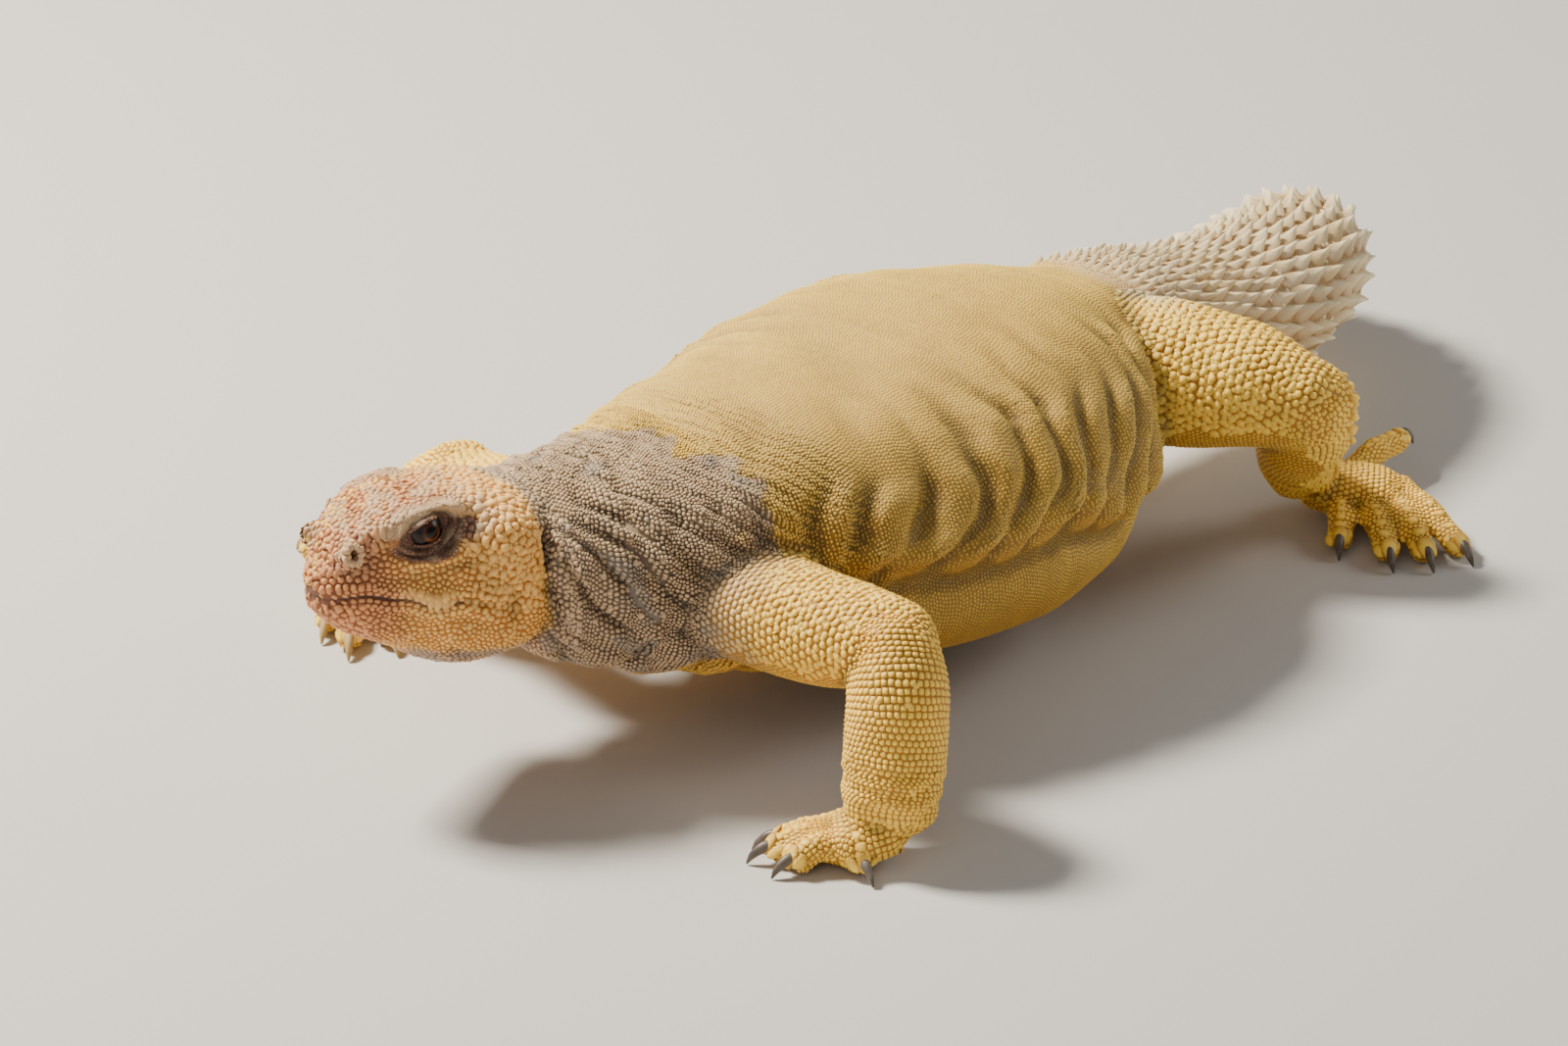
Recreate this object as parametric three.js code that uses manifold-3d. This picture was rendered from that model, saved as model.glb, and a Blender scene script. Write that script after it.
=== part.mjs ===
// A yellow spiny-tailed lizard at life size, standing as it walks, with its head turned to its right.
// Millimetres. +X is the animal's left, +Y runs toward its tail and +Z is up, from the floor at z = 0.
import * as THREE from "three";
import { mergeVertices } from "three/addons/utils/BufferGeometryUtils.js";
import Module from "manifold-3d";

const wasm = await Module();
wasm.setup();

// Driving dimensions
const GAP = 0.3; // between neighbouring sub-parts
const HEAD_LENGTH = 60; // snout tip to the back of the skull
const HEAD_YAW = 18; // degrees that the head turns to the animal's right
const HEAD_ROLL = 6; // degrees that the left side of the head is raised
const SNOUT = { x: -46, y: -57, z: 60 }; // tip of the snout
const EYE_RADIUS = 5;
const EYE_OPENING = { long: 5.6, high: 2.9 }; // half sizes between the lids
const TRUNK_SIDES = 26;
const TORSO_ROWS = 36;
const TAIL_SIDES = 16;
const FOLD_DEPTH = 1.7; // skin folds of the flank
const WHORL_PITCH = 11.5; // from one ring of tail scutes to the next, at the root of the tail
const SCUTE_SPACING = 8; // across a ring of scutes, at the root of the tail
const DIGIT_RADIUS = { front: 4, hind: 3.9 };
const CLAW_LENGTH = { front: 7.2, hind: 6.6 };

const UP = new THREE.Vector3(0, 0, 1);

const FINISH = {
  head: new THREE.MeshStandardMaterial({ color: 0xb98a45, roughness: 0.7 }),
  cape: new THREE.MeshStandardMaterial({ color: 0x9c8458, roughness: 0.85 }),
  body: new THREE.MeshStandardMaterial({ color: 0xc09a3c, roughness: 0.75 }),
  limb: new THREE.MeshStandardMaterial({ color: 0xc7a044, roughness: 0.7 }),
  tail: new THREE.MeshStandardMaterial({ color: 0xd9c79a, roughness: 0.6 }),
  claw: new THREE.MeshStandardMaterial({ color: 0x4a4038, roughness: 0.45 }),
  eye: new THREE.MeshStandardMaterial({ color: 0x2a1a10, roughness: 0.1 }),
};

// Repeatable draws between -1 and 1
let seed = 20417;
function draw() {
  seed = (seed * 1664525 + 1013904223) % 4294967296;
  return seed / 2147483648 - 1;
}

const degrees = THREE.MathUtils.degToRad;
const smooth = THREE.MathUtils.smoothstep;
const mix = THREE.MathUtils.lerp;
const vec = (x, y, z) => new THREE.Vector3(x, y, z);

// Solids

function solid(geometry) {
  const bare = geometry.clone();
  bare.deleteAttribute("normal");
  bare.deleteAttribute("uv");
  const merged = mergeVertices(bare, 1e-4);
  return new wasm.Manifold(
    new wasm.Mesh({
      numProp: 3,
      vertProperties: merged.attributes.position.array,
      triVerts: new Uint32Array(merged.index.array),
    }),
  );
}

function largest(body) {
  const pieces = body.decompose();
  return pieces.reduce((a, b) => (b.volume() > a.volume() ? b : a));
}

function joined(bodies) {
  return bodies.reduce((a, b) => a.add(b));
}

function geometryOf(body) {
  const mesh = body.getMesh();
  const step = mesh.numProp;
  const points = new Float32Array(mesh.numVert * 3);
  for (let i = 0; i < mesh.numVert; i++)
    points.set(mesh.vertProperties.subarray(i * step, i * step + 3), i * 3);
  const geometry = new THREE.BufferGeometry();
  geometry.setAttribute("position", new THREE.BufferAttribute(points, 3));
  geometry.setIndex(new THREE.BufferAttribute(mesh.triVerts, 1));
  return geometry;
}

// A closed body through a row of sections. Each section gives its centre, its side and up axes and
// its half sizes; square above 2 makes it boxier, below the middle too unless squareLow is given.
// An optional turn moves a point round the section, and ripple moves it in or out.
function loft(sections, sides) {
  const rows = sections.length - 1;
  const geometry = new THREE.CylinderGeometry(1, 1, 1, sides, rows);
  const position = geometry.attributes.position;
  for (let i = 0; i < position.count; i++) {
    const section = sections[Math.round((position.getY(i) + 0.5) * rows)];
    const across = position.getX(i);
    const rise = position.getZ(i);
    const point = section.centre.clone();
    if (Math.hypot(across, rise) > 1e-6) {
      const step = Math.atan2(rise, across);
      const angle = section.turn ? section.turn(step) : step;
      const out = section.ripple ? section.ripple(angle, step) : 0;
      point.add(offsetAt(section, angle, out));
    }
    position.setXYZ(i, point.x, point.y, point.z);
  }
  return geometry;
}

// From the centre of a section to its outline, at an angle counted up from the side axis
function offsetAt(section, angle, out = 0) {
  const c = Math.cos(angle);
  const s = Math.sin(angle);
  const power = 2 / (s < 0 && section.squareLow ? section.squareLow : section.square);
  const width = Math.sign(c) * Math.abs(c) ** power * (section.w + out);
  const height = Math.sign(s) * Math.abs(s) ** power * ((s > 0 ? section.up : section.down) + out);
  return section.side.clone().multiplyScalar(width).addScaledVector(section.top, height);
}

// Smooth curves through stations { at: [x, y, z], w, up, down }
function trackOf(stations) {
  return {
    centres: new THREE.CatmullRomCurve3(stations.map((s) => vec(...s.at))),
    sizes: new THREE.CatmullRomCurve3(stations.map((s) => vec(s.w, s.up, s.down))),
  };
}

// The section of a track at its parameter t, made larger all round by grow
function sectionAt(track, t, { upward = UP, grow = 0, square = 2.2, squareLow } = {}) {
  const centre = track.centres.getPoint(t);
  const tangent = track.centres.getTangent(t);
  const side = tangent.clone().cross(upward).normalize();
  const top = side.clone().cross(tangent).normalize();
  const size = track.sizes.getPoint(t);
  return {
    centre,
    tangent,
    side,
    top,
    square,
    squareLow,
    t,
    w: size.x + grow,
    up: size.y + grow,
    down: size.z + grow,
  };
}

function scaled(section, share, shift) {
  return {
    ...section,
    centre: section.centre.clone().addScaledVector(section.tangent, shift),
    w: section.w * share,
    up: section.up * share,
    down: section.down * share,
  };
}

// Sections at even steps of a track; a round end adds two smaller ones past it.
function sectionsOf(track, options) {
  const { rows, from = 0, to = 1, grow = 0, roundStart, roundEnd } = options;
  const sections = [];
  for (let i = 0; i <= rows; i++)
    sections.push(sectionAt(track, mix(from, to, i / rows), options));
  const first = sections[0];
  const last = sections[rows];
  first.centre.addScaledVector(first.tangent, -grow);
  last.centre.addScaledVector(last.tangent, grow);
  if (roundStart) {
    const reach = Math.min(first.w, first.up);
    sections.unshift(scaled(first, 0.82, -reach * 0.5));
    sections.unshift(scaled(first, 0.42, -reach * 0.82));
  }
  if (roundEnd) {
    const reach = Math.min(last.w, last.up);
    if (roundEnd !== "short") sections.push(scaled(last, 0.82, reach * 0.5));
    sections.push(scaled(last, 0.45, reach * 0.82));
  }
  return sections;
}

function bodyAlong(stations, sides, options) {
  return solid(loft(sectionsOf(trackOf(stations), options), sides));
}

const belowFloor = solid(new THREE.BoxGeometry(900, 1200, 60).translate(0, 100, -30));

function onFloor(body) {
  return largest(body.subtract(belowFloor));
}

// Neck, trunk and tail share one run of stations, so their skins line up.
const SPINE = [
  { at: [-34, -16, 58], w: 16, up: 15.5, down: 18 },
  { at: [-27, -1, 57], w: 22.5, up: 19.5, down: 24 },
  { at: [-17, 14, 56], w: 30, up: 24, down: 27 },
  { at: [-9, 31, 54], w: 38, up: 29, down: 30 },
  { at: [-4, 56, 52], w: 48, up: 33, down: 36 },
  { at: [0, 86, 50], w: 56, up: 36, down: 39 },
  { at: [1, 115, 50], w: 60, up: 38, down: 42 },
  { at: [1, 143, 50], w: 56, up: 36.5, down: 39 },
  { at: [0, 168, 49], w: 43, up: 31, down: 31 },
  { at: [0, 191, 48], w: 32, up: 25, down: 24 },
  { at: [-1, 212, 47], w: 28, up: 22, down: 21 },
  { at: [1, 237, 43], w: 26.5, up: 19.5, down: 20 },
  { at: [3, 261, 41], w: 24.5, up: 18, down: 18 },
  { at: [0, 284, 40], w: 22, up: 16.5, down: 16 },
  { at: [-9, 305, 37], w: 19.5, up: 15, down: 14.5 },
  { at: [-24, 321, 31], w: 17, up: 13.5, down: 13 },
  { at: [-43, 325, 20], w: 14.5, up: 11, down: 11 },
  { at: [-58, 311, 10.6], w: 12, up: 9, down: 9.2 },
  { at: [-66, 288, 7], w: 9.2, up: 7.2, down: 7.6 },
  { at: [-72, 264, 5.3], w: 6.2, up: 5.2, down: 5.8 },
  { at: [-78, 242, 3.4], w: 3.4, up: 3.2, down: 3.8 },
  { at: [-81, 231, 2.1], w: 1.6, up: 1.6, down: 2.4 },
];
const spine = trackOf(SPINE);
const SPANS = SPINE.length - 1;
const station = (n) => n / SPANS; // the spine parameter of a station, counted from 0

// The parameter where the next sub-part starts, one gap behind t
function behind(t) {
  const speed = spine.centres.getPoint(t + 1e-3).distanceTo(spine.centres.getPoint(t)) / 1e-3;
  return t + GAP / speed;
}

// Folds of loose skin run down the flank, three sections to a fold.
function flankFolds(section, row) {
  const y = section.centre.y;
  const along = smooth(y, 45, 75) * (1 - smooth(y, 172, 192));
  return (angle) => {
    const rise = Math.sin(angle);
    const low = smooth(rise, -0.5, 0) * (1 - smooth(rise, 0.6, 0.95));
    return FOLD_DEPTH * along * low * Math.sin((row / 3) * 2 * Math.PI + 0.5);
  };
}

function spineBody(from, to, rows, { grow = 0, folds = false } = {}) {
  const sections = sectionsOf(spine, { rows, from, to, grow, square: 2.25, squareLow: 2.9 });
  if (folds) sections.forEach((s, row) => (s.ripple = flankFolds(s, row)));
  return solid(loft(sections, TRUNK_SIDES));
}

const NECK_END = station(2.75);
const TORSO_END = station(10);

// Head: places are named by the distance behind the snout tip, the distance to the left, and the
// height over the floor that they would have if the head were level.
const headYaw = degrees(HEAD_YAW);
const headRoll = degrees(HEAD_ROLL);
const headBack = vec(Math.sin(headYaw), Math.cos(headYaw), 0);
const headLeft = vec(
  Math.cos(headYaw) * Math.cos(headRoll),
  -Math.sin(headYaw) * Math.cos(headRoll),
  Math.sin(headRoll),
);
const headUp = headLeft.clone().cross(headBack);

function headPoint(back, left, z) {
  return vec(SNOUT.x, SNOUT.y, SNOUT.z)
    .addScaledVector(headBack, back)
    .addScaledVector(headLeft, left)
    .addScaledVector(headUp, z - SNOUT.z);
}

const SKULL = [
  { back: 0, middle: 61.5, w: 1.6, up: 1.6, down: 2 },
  { back: 0.9, middle: 61.4, w: 4.8, up: 5, down: 5 },
  { back: 3, middle: 61, w: 7.8, up: 9.6, down: 8.2 },
  { back: 7, middle: 60.5, w: 10.7, up: 15.2, down: 11.5 },
  { back: 14, middle: 59.5, w: 14.1, up: 19.6, down: 15 },
  { back: 22, middle: 59, w: 17.5, up: 21, down: 18.5 },
  { back: 31, middle: 58, w: 21, up: 22, down: 21 },
  { back: 40, middle: 57, w: 23.5, up: 22, down: 22 },
  { back: 48, middle: 56.5, w: 24, up: 21.5, down: 21.5 },
  { back: 55, middle: 56.5, w: 22, up: 20, down: 20.5 },
  { back: HEAD_LENGTH, middle: 56.5, w: 19, up: 18, down: 18 },
];
const skull = trackOf(
  SKULL.map((s) => ({ ...s, at: headPoint(s.back, 0, s.middle).toArray() })),
);

// Height of the line of the mouth along each side; behind the last place there is none.
const MOUTH = [
  { back: 0, z: 58.5 },
  { back: 8, z: 59.2 },
  { back: 16, z: 57.4 },
  { back: 25, z: 54.2 },
  { back: 31, z: 54.8 },
  { back: 40, z: 52.4 },
  { back: 60, z: 50.5 },
];
const LIP_EDGE = 1.7; // from the line of the mouth to the edge of each lip
const LIP_HEIGHT = 4.6; // from the line of the mouth to where each lip blends into the face

function mouthHeight(back) {
  const next = MOUTH.findIndex((m) => m.back >= back);
  const i = next < 0 ? MOUTH.length - 1 : Math.max(1, next);
  const [a, b] = [MOUTH[i - 1], MOUTH[i]];
  return mix(a.z, b.z, smooth(back, a.back, b.back));
}

// Soft swellings of the face: place behind the snout, angle round the section, size and spread
const SWELLINGS = [
  { back: 43, angle: 24, out: 2.6, along: 9, round: 22 }, // cheek muscle
  { back: 44, angle: -34, out: 2.4, along: 10, round: 18 }, // jowl
  { back: 24, angle: 14, out: 1.6, along: 6, round: 9 }, // fold below the eye
  { back: 25, angle: 58, out: 1.6, along: 12, round: 20 }, // edge of the crown
  { back: 14, angle: 46, out: 1.4, along: 7, round: 14 }, // ridge from the eye to the nose
  { back: 8, angle: 42, out: 1, along: 5, round: 18 }, // side of the nose
  { back: 40, angle: -90, out: 2.6, along: 14, round: 34 }, // loose skin of the throat
];

// Points round the head follow the lips, so that these lie along the mouth line on every section.
function faceSection(section, sides, grow) {
  const back = section.centre.clone().sub(headPoint(0, 0, SNOUT.z)).dot(headBack);
  const low = mouthHeight(back) - (section.centre.z - headPoint(back, 0, SNOUT.z).z + SNOUT.z);
  const angleAt = (drop) => {
    const reach = (low + drop > 0 ? section.up : section.down) - grow;
    const share = Math.min(0.96, Math.abs(low + drop) / reach);
    const square = low + drop > 0 ? section.square : section.squareLow;
    return Math.sign(low + drop) * Math.asin(share ** (square / 2));
  };
  const step = (2 * Math.PI) / sides;
  const squeeze = Math.min(1, (section.down - grow) / 11);
  const rows = [LIP_HEIGHT, LIP_EDGE, 0, -LIP_EDGE, -LIP_HEIGHT].map((d) => angleAt(d * squeeze));
  const depth = 1 - smooth(back, 37, 43);
  section.turn = (angle) => {
    const side = Math.abs(Math.abs(angle) - Math.PI / 2) < 1e-6 ? 0 : Math.cos(angle) > 0 ? 1 : -1;
    if (!side) return angle;
    const height = Math.asin(Math.sin(angle));
    const place = 1 - height / step; // 0 to 4 are the five rows of the lips
    let turned;
    if (place < 0) turned = mix(Math.PI / 2, rows[0], (Math.PI / 2 - height) / (Math.PI / 2 - step));
    else if (place > 4) turned = mix(-Math.PI / 2, rows[4], (height + Math.PI / 2) / (Math.PI / 2 - 3 * step));
    else turned = mix(rows[Math.floor(place)], rows[Math.min(4, Math.floor(place) + 1)], place % 1);
    return side > 0 ? turned : Math.PI - turned;
  };
  section.ripple = (angle, from) => {
    const row = Math.round(1 - Math.asin(Math.sin(from)) / step);
    const lip = Math.abs(Math.sin(from)) > 0.999 ? 0 : ({ 1: 0.7, 2: -1.1, 3: 0.7 }[row] ?? 0);
    const face = Math.asin(Math.sin(angle));
    const swell = SWELLINGS.reduce((sum, s) => {
      const far = ((back - s.back) / s.along) ** 2 + ((face - degrees(s.angle)) / degrees(s.round)) ** 2;
      return sum + s.out * Math.exp(-far);
    }, 0);
    return swell + lip * depth * squeeze;
  };
  return section;
}

const FACE_SIDES = 24;

function skullBody(grow = 0) {
  const options = { rows: 20, square: 3.1, squareLow: 2.4, roundEnd: true, grow, upward: headUp };
  const sections = sectionsOf(skull, options);
  return solid(loft(sections.map((s) => faceSection(s, FACE_SIDES, grow)), FACE_SIDES));
}

function headEgg(centre, half, detail, tilt = 0, toeIn = 0) {
  const geometry = new THREE.SphereGeometry(1, detail, Math.round(detail * 0.7));
  geometry.rotateX(Math.PI / 2);
  geometry.scale(...half);
  geometry.rotateX(degrees(tilt));
  geometry.rotateZ(degrees(toeIn));
  const turn = new THREE.Matrix4().makeBasis(headLeft, headBack, headUp);
  geometry.applyMatrix4(turn.setPosition(centre));
  return solid(geometry);
}

const EYE = { back: 24.5, out: 13.3, z: 73.6 };
const EYE_TILT = 20; // degrees that the opening climbs toward the back

function eyeCentre(side) {
  return headPoint(EYE.back, side * EYE.out, EYE.z);
}

// The gap between the lids: a pointed oval driven outward through the skin
function lidWindow(side) {
  const { long, high } = EYE_OPENING;
  const outline = new THREE.Shape();
  outline.moveTo(-long, 0);
  outline.quadraticCurveTo(-long * 0.1, high * 2.1, long, 0);
  outline.quadraticCurveTo(-long * 0.1, -high * 1.9, -long, 0);
  const geometry = new THREE.ExtrudeGeometry(outline, {
    depth: 14,
    bevelEnabled: false,
    curveSegments: 4,
  });
  const outward = headLeft.clone().multiplyScalar(side).addScaledVector(headUp, 0.05).normalize();
  const back = headBack.clone().applyAxisAngle(headLeft, degrees(EYE_TILT));
  const climb = outward.clone().cross(back).normalize();
  const level = climb.clone().cross(outward);
  const turn = new THREE.Matrix4().makeBasis(level, climb, outward);
  geometry.applyMatrix4(turn.setPosition(eyeCentre(side)));
  return solid(geometry);
}

function eyeball(side, grow = 0) {
  const r = EYE_RADIUS + grow;
  return headEgg(eyeCentre(side), [r, r, r], 12);
}

function buildHead() {
  let head = skullBody();
  for (const side of [1, -1]) {
    const at = (back, left, z) => headPoint(back, side * left, z);
    head = head
      .add(headEgg(at(24.5, 11.8, 74), [7.4, 10.5, 6.8], 12, 6)) // lids
      .add(headEgg(at(25.8, 14.2, 77.4), [3.9, 10.4, 2.7], 8, 5, -12 * side)) // brow
      .add(headEgg(at(6.8, 8.3, 70.2), [2, 2.9, 2.9], 8)) // ring of the nostril
      .subtract(headEgg(at(6.6, 10.5, 70.2), [2, 1, 1.6], 6))
      .subtract(headEgg(at(54, 23.4, 63), [5, 1.7, 5.6], 8)) // ear cup
      .subtract(eyeball(side, GAP))
      .subtract(lidWindow(side));
  }
  return largest(head);
}

// Legs. Each stretch is cut back from the one that it grows from.
const LEGS = {
  front_left: {
    upper: [
      { at: [12, 24, 48], w: 15, up: 14, down: 14 },
      { at: [36, 24, 48], w: 15, up: 14, down: 15 },
      { at: [58, 24, 49], w: 14, up: 13, down: 14 },
      { at: [74, 23, 50], w: 12, up: 11, down: 11 },
    ],
    lower: [
      { at: [75, 22, 51], w: 10.5, up: 10.5, down: 10.5 },
      { at: [79, 17, 41], w: 13, up: 12.5, down: 12.5 },
      { at: [81.5, 13, 29], w: 13, up: 12, down: 12 },
      { at: [82.5, 9.5, 16], w: 11.8, up: 10.5, down: 10.5 },
    ],
    foot: { heel: [82.5, 9, 8.3], palm: [75, 2.5, 6.2], w: 11, high: 6.4 },
    digits: [
      { from: [71, 6, 6], to: [64, 3, 3.2] },
      { from: [69, 2.5, 6], to: [59.5, -4, 3.2] },
      { from: [70, -0.5, 6.2], to: [62, -9.5, 3.4] },
      { from: [74, -2, 6.2], to: [70, -10.8, 3.3] },
      { from: [77, 0.5, 6], to: [83, -2.5, 3.3] },
    ],
  },
  front_right: {
    upper: [
      { at: [-26, 26, 48], w: 14, up: 13, down: 14 },
      { at: [-45, 29, 48], w: 13.5, up: 12.5, down: 14 },
      { at: [-63, 33, 47], w: 12.5, up: 11.5, down: 13 },
      { at: [-78, 37, 45], w: 11, up: 10, down: 11 },
    ],
    lower: [
      { at: [-79, 38, 47], w: 10, up: 10, down: 10 },
      { at: [-89, 40, 36], w: 12.5, up: 12, down: 12 },
      { at: [-98, 43, 25], w: 12.3, up: 11.5, down: 11.5 },
      { at: [-106, 46, 15], w: 11, up: 10, down: 10 },
    ],
    foot: { heel: [-108, 47, 8.3], palm: [-115, 41, 6.2], w: 11, high: 6.4 },
    digits: [
      { from: [-108, 38, 6], to: [-95, 34, 3.2] },
      { from: [-109, 35, 6], to: [-92, 24, 3.2] },
      { from: [-112, 33, 6.2], to: [-98.5, 15.8, 3.3] },
      { from: [-117, 34, 6.2], to: [-109.5, 19.8, 3.3] },
      { from: [-121, 44, 6], to: [-142, 50.5, 3.3] },
    ],
  },
  hind_left: {
    upper: [
      { at: [6, 188, 50], w: 19, up: 19, down: 19 },
      { at: [26, 194, 51], w: 20, up: 19.5, down: 19 },
      { at: [46, 202, 50], w: 17.5, up: 17.5, down: 16.5 },
      { at: [62, 208, 48], w: 13.5, up: 13, down: 12 },
    ],
    lower: [
      { at: [64, 209.5, 48], w: 11.5, up: 11.5, down: 11.5 },
      { at: [60, 214.5, 38], w: 12.5, up: 12.5, down: 12 },
      { at: [53, 221, 28], w: 11, up: 10.5, down: 10.5 },
      { at: [48.5, 227.5, 19], w: 9.5, up: 9, down: 9 },
    ],
    foot: { heel: [48, 237, 10], palm: [61, 246, 7.1], w: 11.4, high: 7 },
    digits: [
      { from: [57, 236, 7], to: [65.5, 223.5, 3.1] },
      { from: [62, 240, 7.5], to: [79.7, 225, 3.1] },
      { from: [65, 246, 8], to: [87.5, 231, 3.1] },
      { from: [64, 252, 8], to: [92.8, 239.5, 3.1] },
      { from: [50, 250, 9], to: [50, 272, 10.5] },
    ],
  },
  hind_right: {
    upper: [
      { at: [-8, 190, 47], w: 19, up: 18, down: 17 },
      { at: [-28, 184, 47], w: 19, up: 18, down: 17 },
      { at: [-47, 177, 46], w: 17, up: 15.5, down: 15 },
      { at: [-63, 171, 44], w: 13.5, up: 12.5, down: 12 },
    ],
    lower: [
      { at: [-66, 171, 44], w: 11.5, up: 11.5, down: 11.5 },
      { at: [-68, 179, 35], w: 12.5, up: 12, down: 12 },
      { at: [-70, 189, 26], w: 11, up: 10.5, down: 10.5 },
      { at: [-71, 198, 18], w: 9.5, up: 9, down: 9 },
    ],
    foot: { heel: [-73, 205, 10], palm: [-79, 193, 7.1], w: 11.4, high: 7 },
    digits: [
      { from: [-73, 188, 7], to: [-71, 174.5, 3.1] },
      { from: [-78, 185, 7.5], to: [-82, 166, 3.1] },
      { from: [-84, 186, 8], to: [-94, 164, 3.1] },
      { from: [-87, 191, 8], to: [-105, 170.5, 3.1] },
      { from: [-83, 200, 7], to: [-99, 198, 3.1] },
    ],
  },
};

function limb(stations, grow = 0) {
  return bodyAlong(stations, 10, {
    rows: 5,
    grow,
    roundStart: true,
    roundEnd: true,
    square: 2.1,
    upward: Math.abs(stations[0].at[2] - stations[3].at[2]) > 20 ? vec(0, -1, 0) : UP,
  });
}

function digitBody({ from, to }, radius, grow = 0) {
  const start = vec(...from);
  const end = vec(...to);
  const knuckle = start.clone().lerp(end, 0.5).addScaledVector(UP, 1.4);
  const stations = [
    { at: start.toArray(), w: radius * 0.95, up: radius * 0.95, down: radius * 0.95 },
    { at: knuckle.toArray(), w: radius * 0.98, up: radius * 0.9, down: radius * 0.95 },
    { at: end.toArray(), w: radius * 0.9, up: radius * 0.82, down: radius * 0.9 },
  ];
  return bodyAlong(stations, 6, { rows: 2, grow, roundEnd: "short" });
}

function footBody({ foot, digits }, radius, grow = 0) {
  const heel = vec(...foot.heel);
  const palm = vec(...foot.palm);
  const toe = palm.clone().add(palm.clone().sub(heel).multiplyScalar(0.35));
  const size = (share) => ({ w: foot.w * share, up: foot.high * share, down: foot.high * 1.1 * share });
  const stations = [
    { at: heel.toArray(), ...size(0.85) },
    { at: palm.toArray(), ...size(1) },
    { at: toe.setZ(palm.z - 1).toArray(), ...size(0.75) },
  ];
  const pad = bodyAlong(stations, 10, { rows: 2, grow, roundStart: true, roundEnd: true });
  return joined([pad, ...digits.map((d) => digitBody(d, radius, grow))]);
}

function clawBody({ from, to }, length) {
  const end = vec(...to);
  const outward = end.clone().sub(vec(...from)).setZ(0).normalize();
  const at = (along, z) => end.clone().addScaledVector(outward, along).setZ(z).toArray();
  const stations = [
    { at: at(-1, end.z + 1.2), w: 1.5, up: 1.6, down: 1.7 },
    { at: at(length * 0.4, end.z + 1.2), w: 1.4, up: 1.6, down: 1.5 },
    { at: at(length * 0.8, end.z - 0.8), w: 0.9, up: 1.1, down: 1 },
    { at: at(length, Math.max(end.z - 3.2, 0.6)), w: 0.3, up: 0.3, down: 0.3 },
  ];
  return bodyAlong(stations, 4, { rows: 3 });
}

// Tail: rings of pointed scutes, wide above and at the sides, and smooth below
const TAIL_PARTS = [
  ["tail_root", TORSO_END, station(12.2)],
  ["tail_middle", station(12.2), station(14.2)],
  ["tail_bend", station(14.2), station(17)],
  ["tail_end", station(17), 1],
];
const TAIL_SHAPE = { square: 2.25, squareLow: 2.5 };
const SCUTE_LIFT = 0.28; // slope of each point off the skin
const SCUTE_ARC = { first: -32, last: 212 }; // degrees round the section that carry points

function scute(section, angle, size) {
  const rim = offsetAt(section, angle);
  const ahead = offsetAt(section, angle - 0.05);
  const behindIt = offsetAt(section, angle + 0.05);
  const round = behindIt.sub(ahead).normalize();
  const outward = round.clone().cross(section.tangent).normalize();
  if (outward.dot(rim) < 0) outward.negate();
  const point = section.tangent.clone().addScaledVector(outward, SCUTE_LIFT).normalize();
  const across = point.clone().cross(outward).normalize();
  const top = across.clone().cross(point);
  const geometry = new THREE.ConeGeometry(1, 1, 4);
  geometry.rotateX(Math.PI / 2);
  geometry.translate(0, 0, 0.5);
  geometry.scale(size.half, size.thick, size.long);
  const turn = new THREE.Matrix4().makeBasis(across, top, point);
  if (turn.determinant() < 0) turn.makeBasis(across.negate(), top, point);
  const root = section.centre.clone().add(rim);
  root.addScaledVector(point, -size.long * 0.5).addScaledVector(outward, -size.thick * 0.2);
  geometry.applyMatrix4(turn.setPosition(root));
  return solid(geometry);
}

function tailBody(from, to) {
  const length = spine.centres.getPoint(from).distanceTo(spine.centres.getPoint(to));
  const rows = Math.max(5, Math.round(length / 11));
  const body = solid(loft(sectionsOf(spine, { rows, from, to, ...TAIL_SHAPE }), TAIL_SIDES));
  const points = [];
  for (const ring of whorls.filter((w) => w.t > from + 0.002 && w.t < to - 0.004)) {
    const section = sectionAt(spine, ring.t, TAIL_SHAPE);
    const share = section.w / 28;
    const arc = degrees(SCUTE_ARC.last - SCUTE_ARC.first);
    const spacing = mix(5, SCUTE_SPACING, Math.min(1, share));
    const count = Math.max(5, Math.round((arc * (section.w + section.up) * 0.5) / spacing));
    for (let i = 0; i < count; i++) {
      const middle = (i + 0.5 + (ring.odd ? 0.18 : -0.18) + draw() * 0.1) / count;
      const angle = degrees(SCUTE_ARC.first) + arc * middle;
      const flank = Math.abs(Math.cos(angle));
      const reach = mix(0.8, 1.25, flank) * (1 + draw() * 0.08);
      points.push(
        scute(section, angle, {
          half: spacing * 0.6,
          thick: mix(1.6, 3.3, Math.min(1, share)),
          long: ring.pitch * 1.25 * reach,
        }),
      );
    }
  }
  return joined([body, ...points]);
}

// Places of the rings of scutes, closer together toward the tip
const whorls = [];
{
  let t = TORSO_END;
  while (t < station(20.4)) {
    const share = spine.sizes.getPoint(t).x / 28;
    const pitch = mix(7.5, WHORL_PITCH, Math.min(1, share));
    const speed = spine.centres.getPoint(t + 1e-3).distanceTo(spine.centres.getPoint(t)) / 1e-3;
    t += pitch / speed;
    whorls.push({ t, pitch, odd: whorls.length % 2 === 1 });
  }
}

// Assembly, set so that the middle of its box stands over the origin
const lizard = new THREE.Group();
const stance = new THREE.Group();
lizard.add(stance);

function addPart(name, body, finish) {
  const mesh = new THREE.Mesh(geometryOf(body), finish);
  mesh.name = name;
  stance.add(mesh);
}

addPart("head", buildHead(), FINISH.head);
addPart("eye_left", eyeball(1), FINISH.eye);
addPart("eye_right", eyeball(-1), FINISH.eye);

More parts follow.
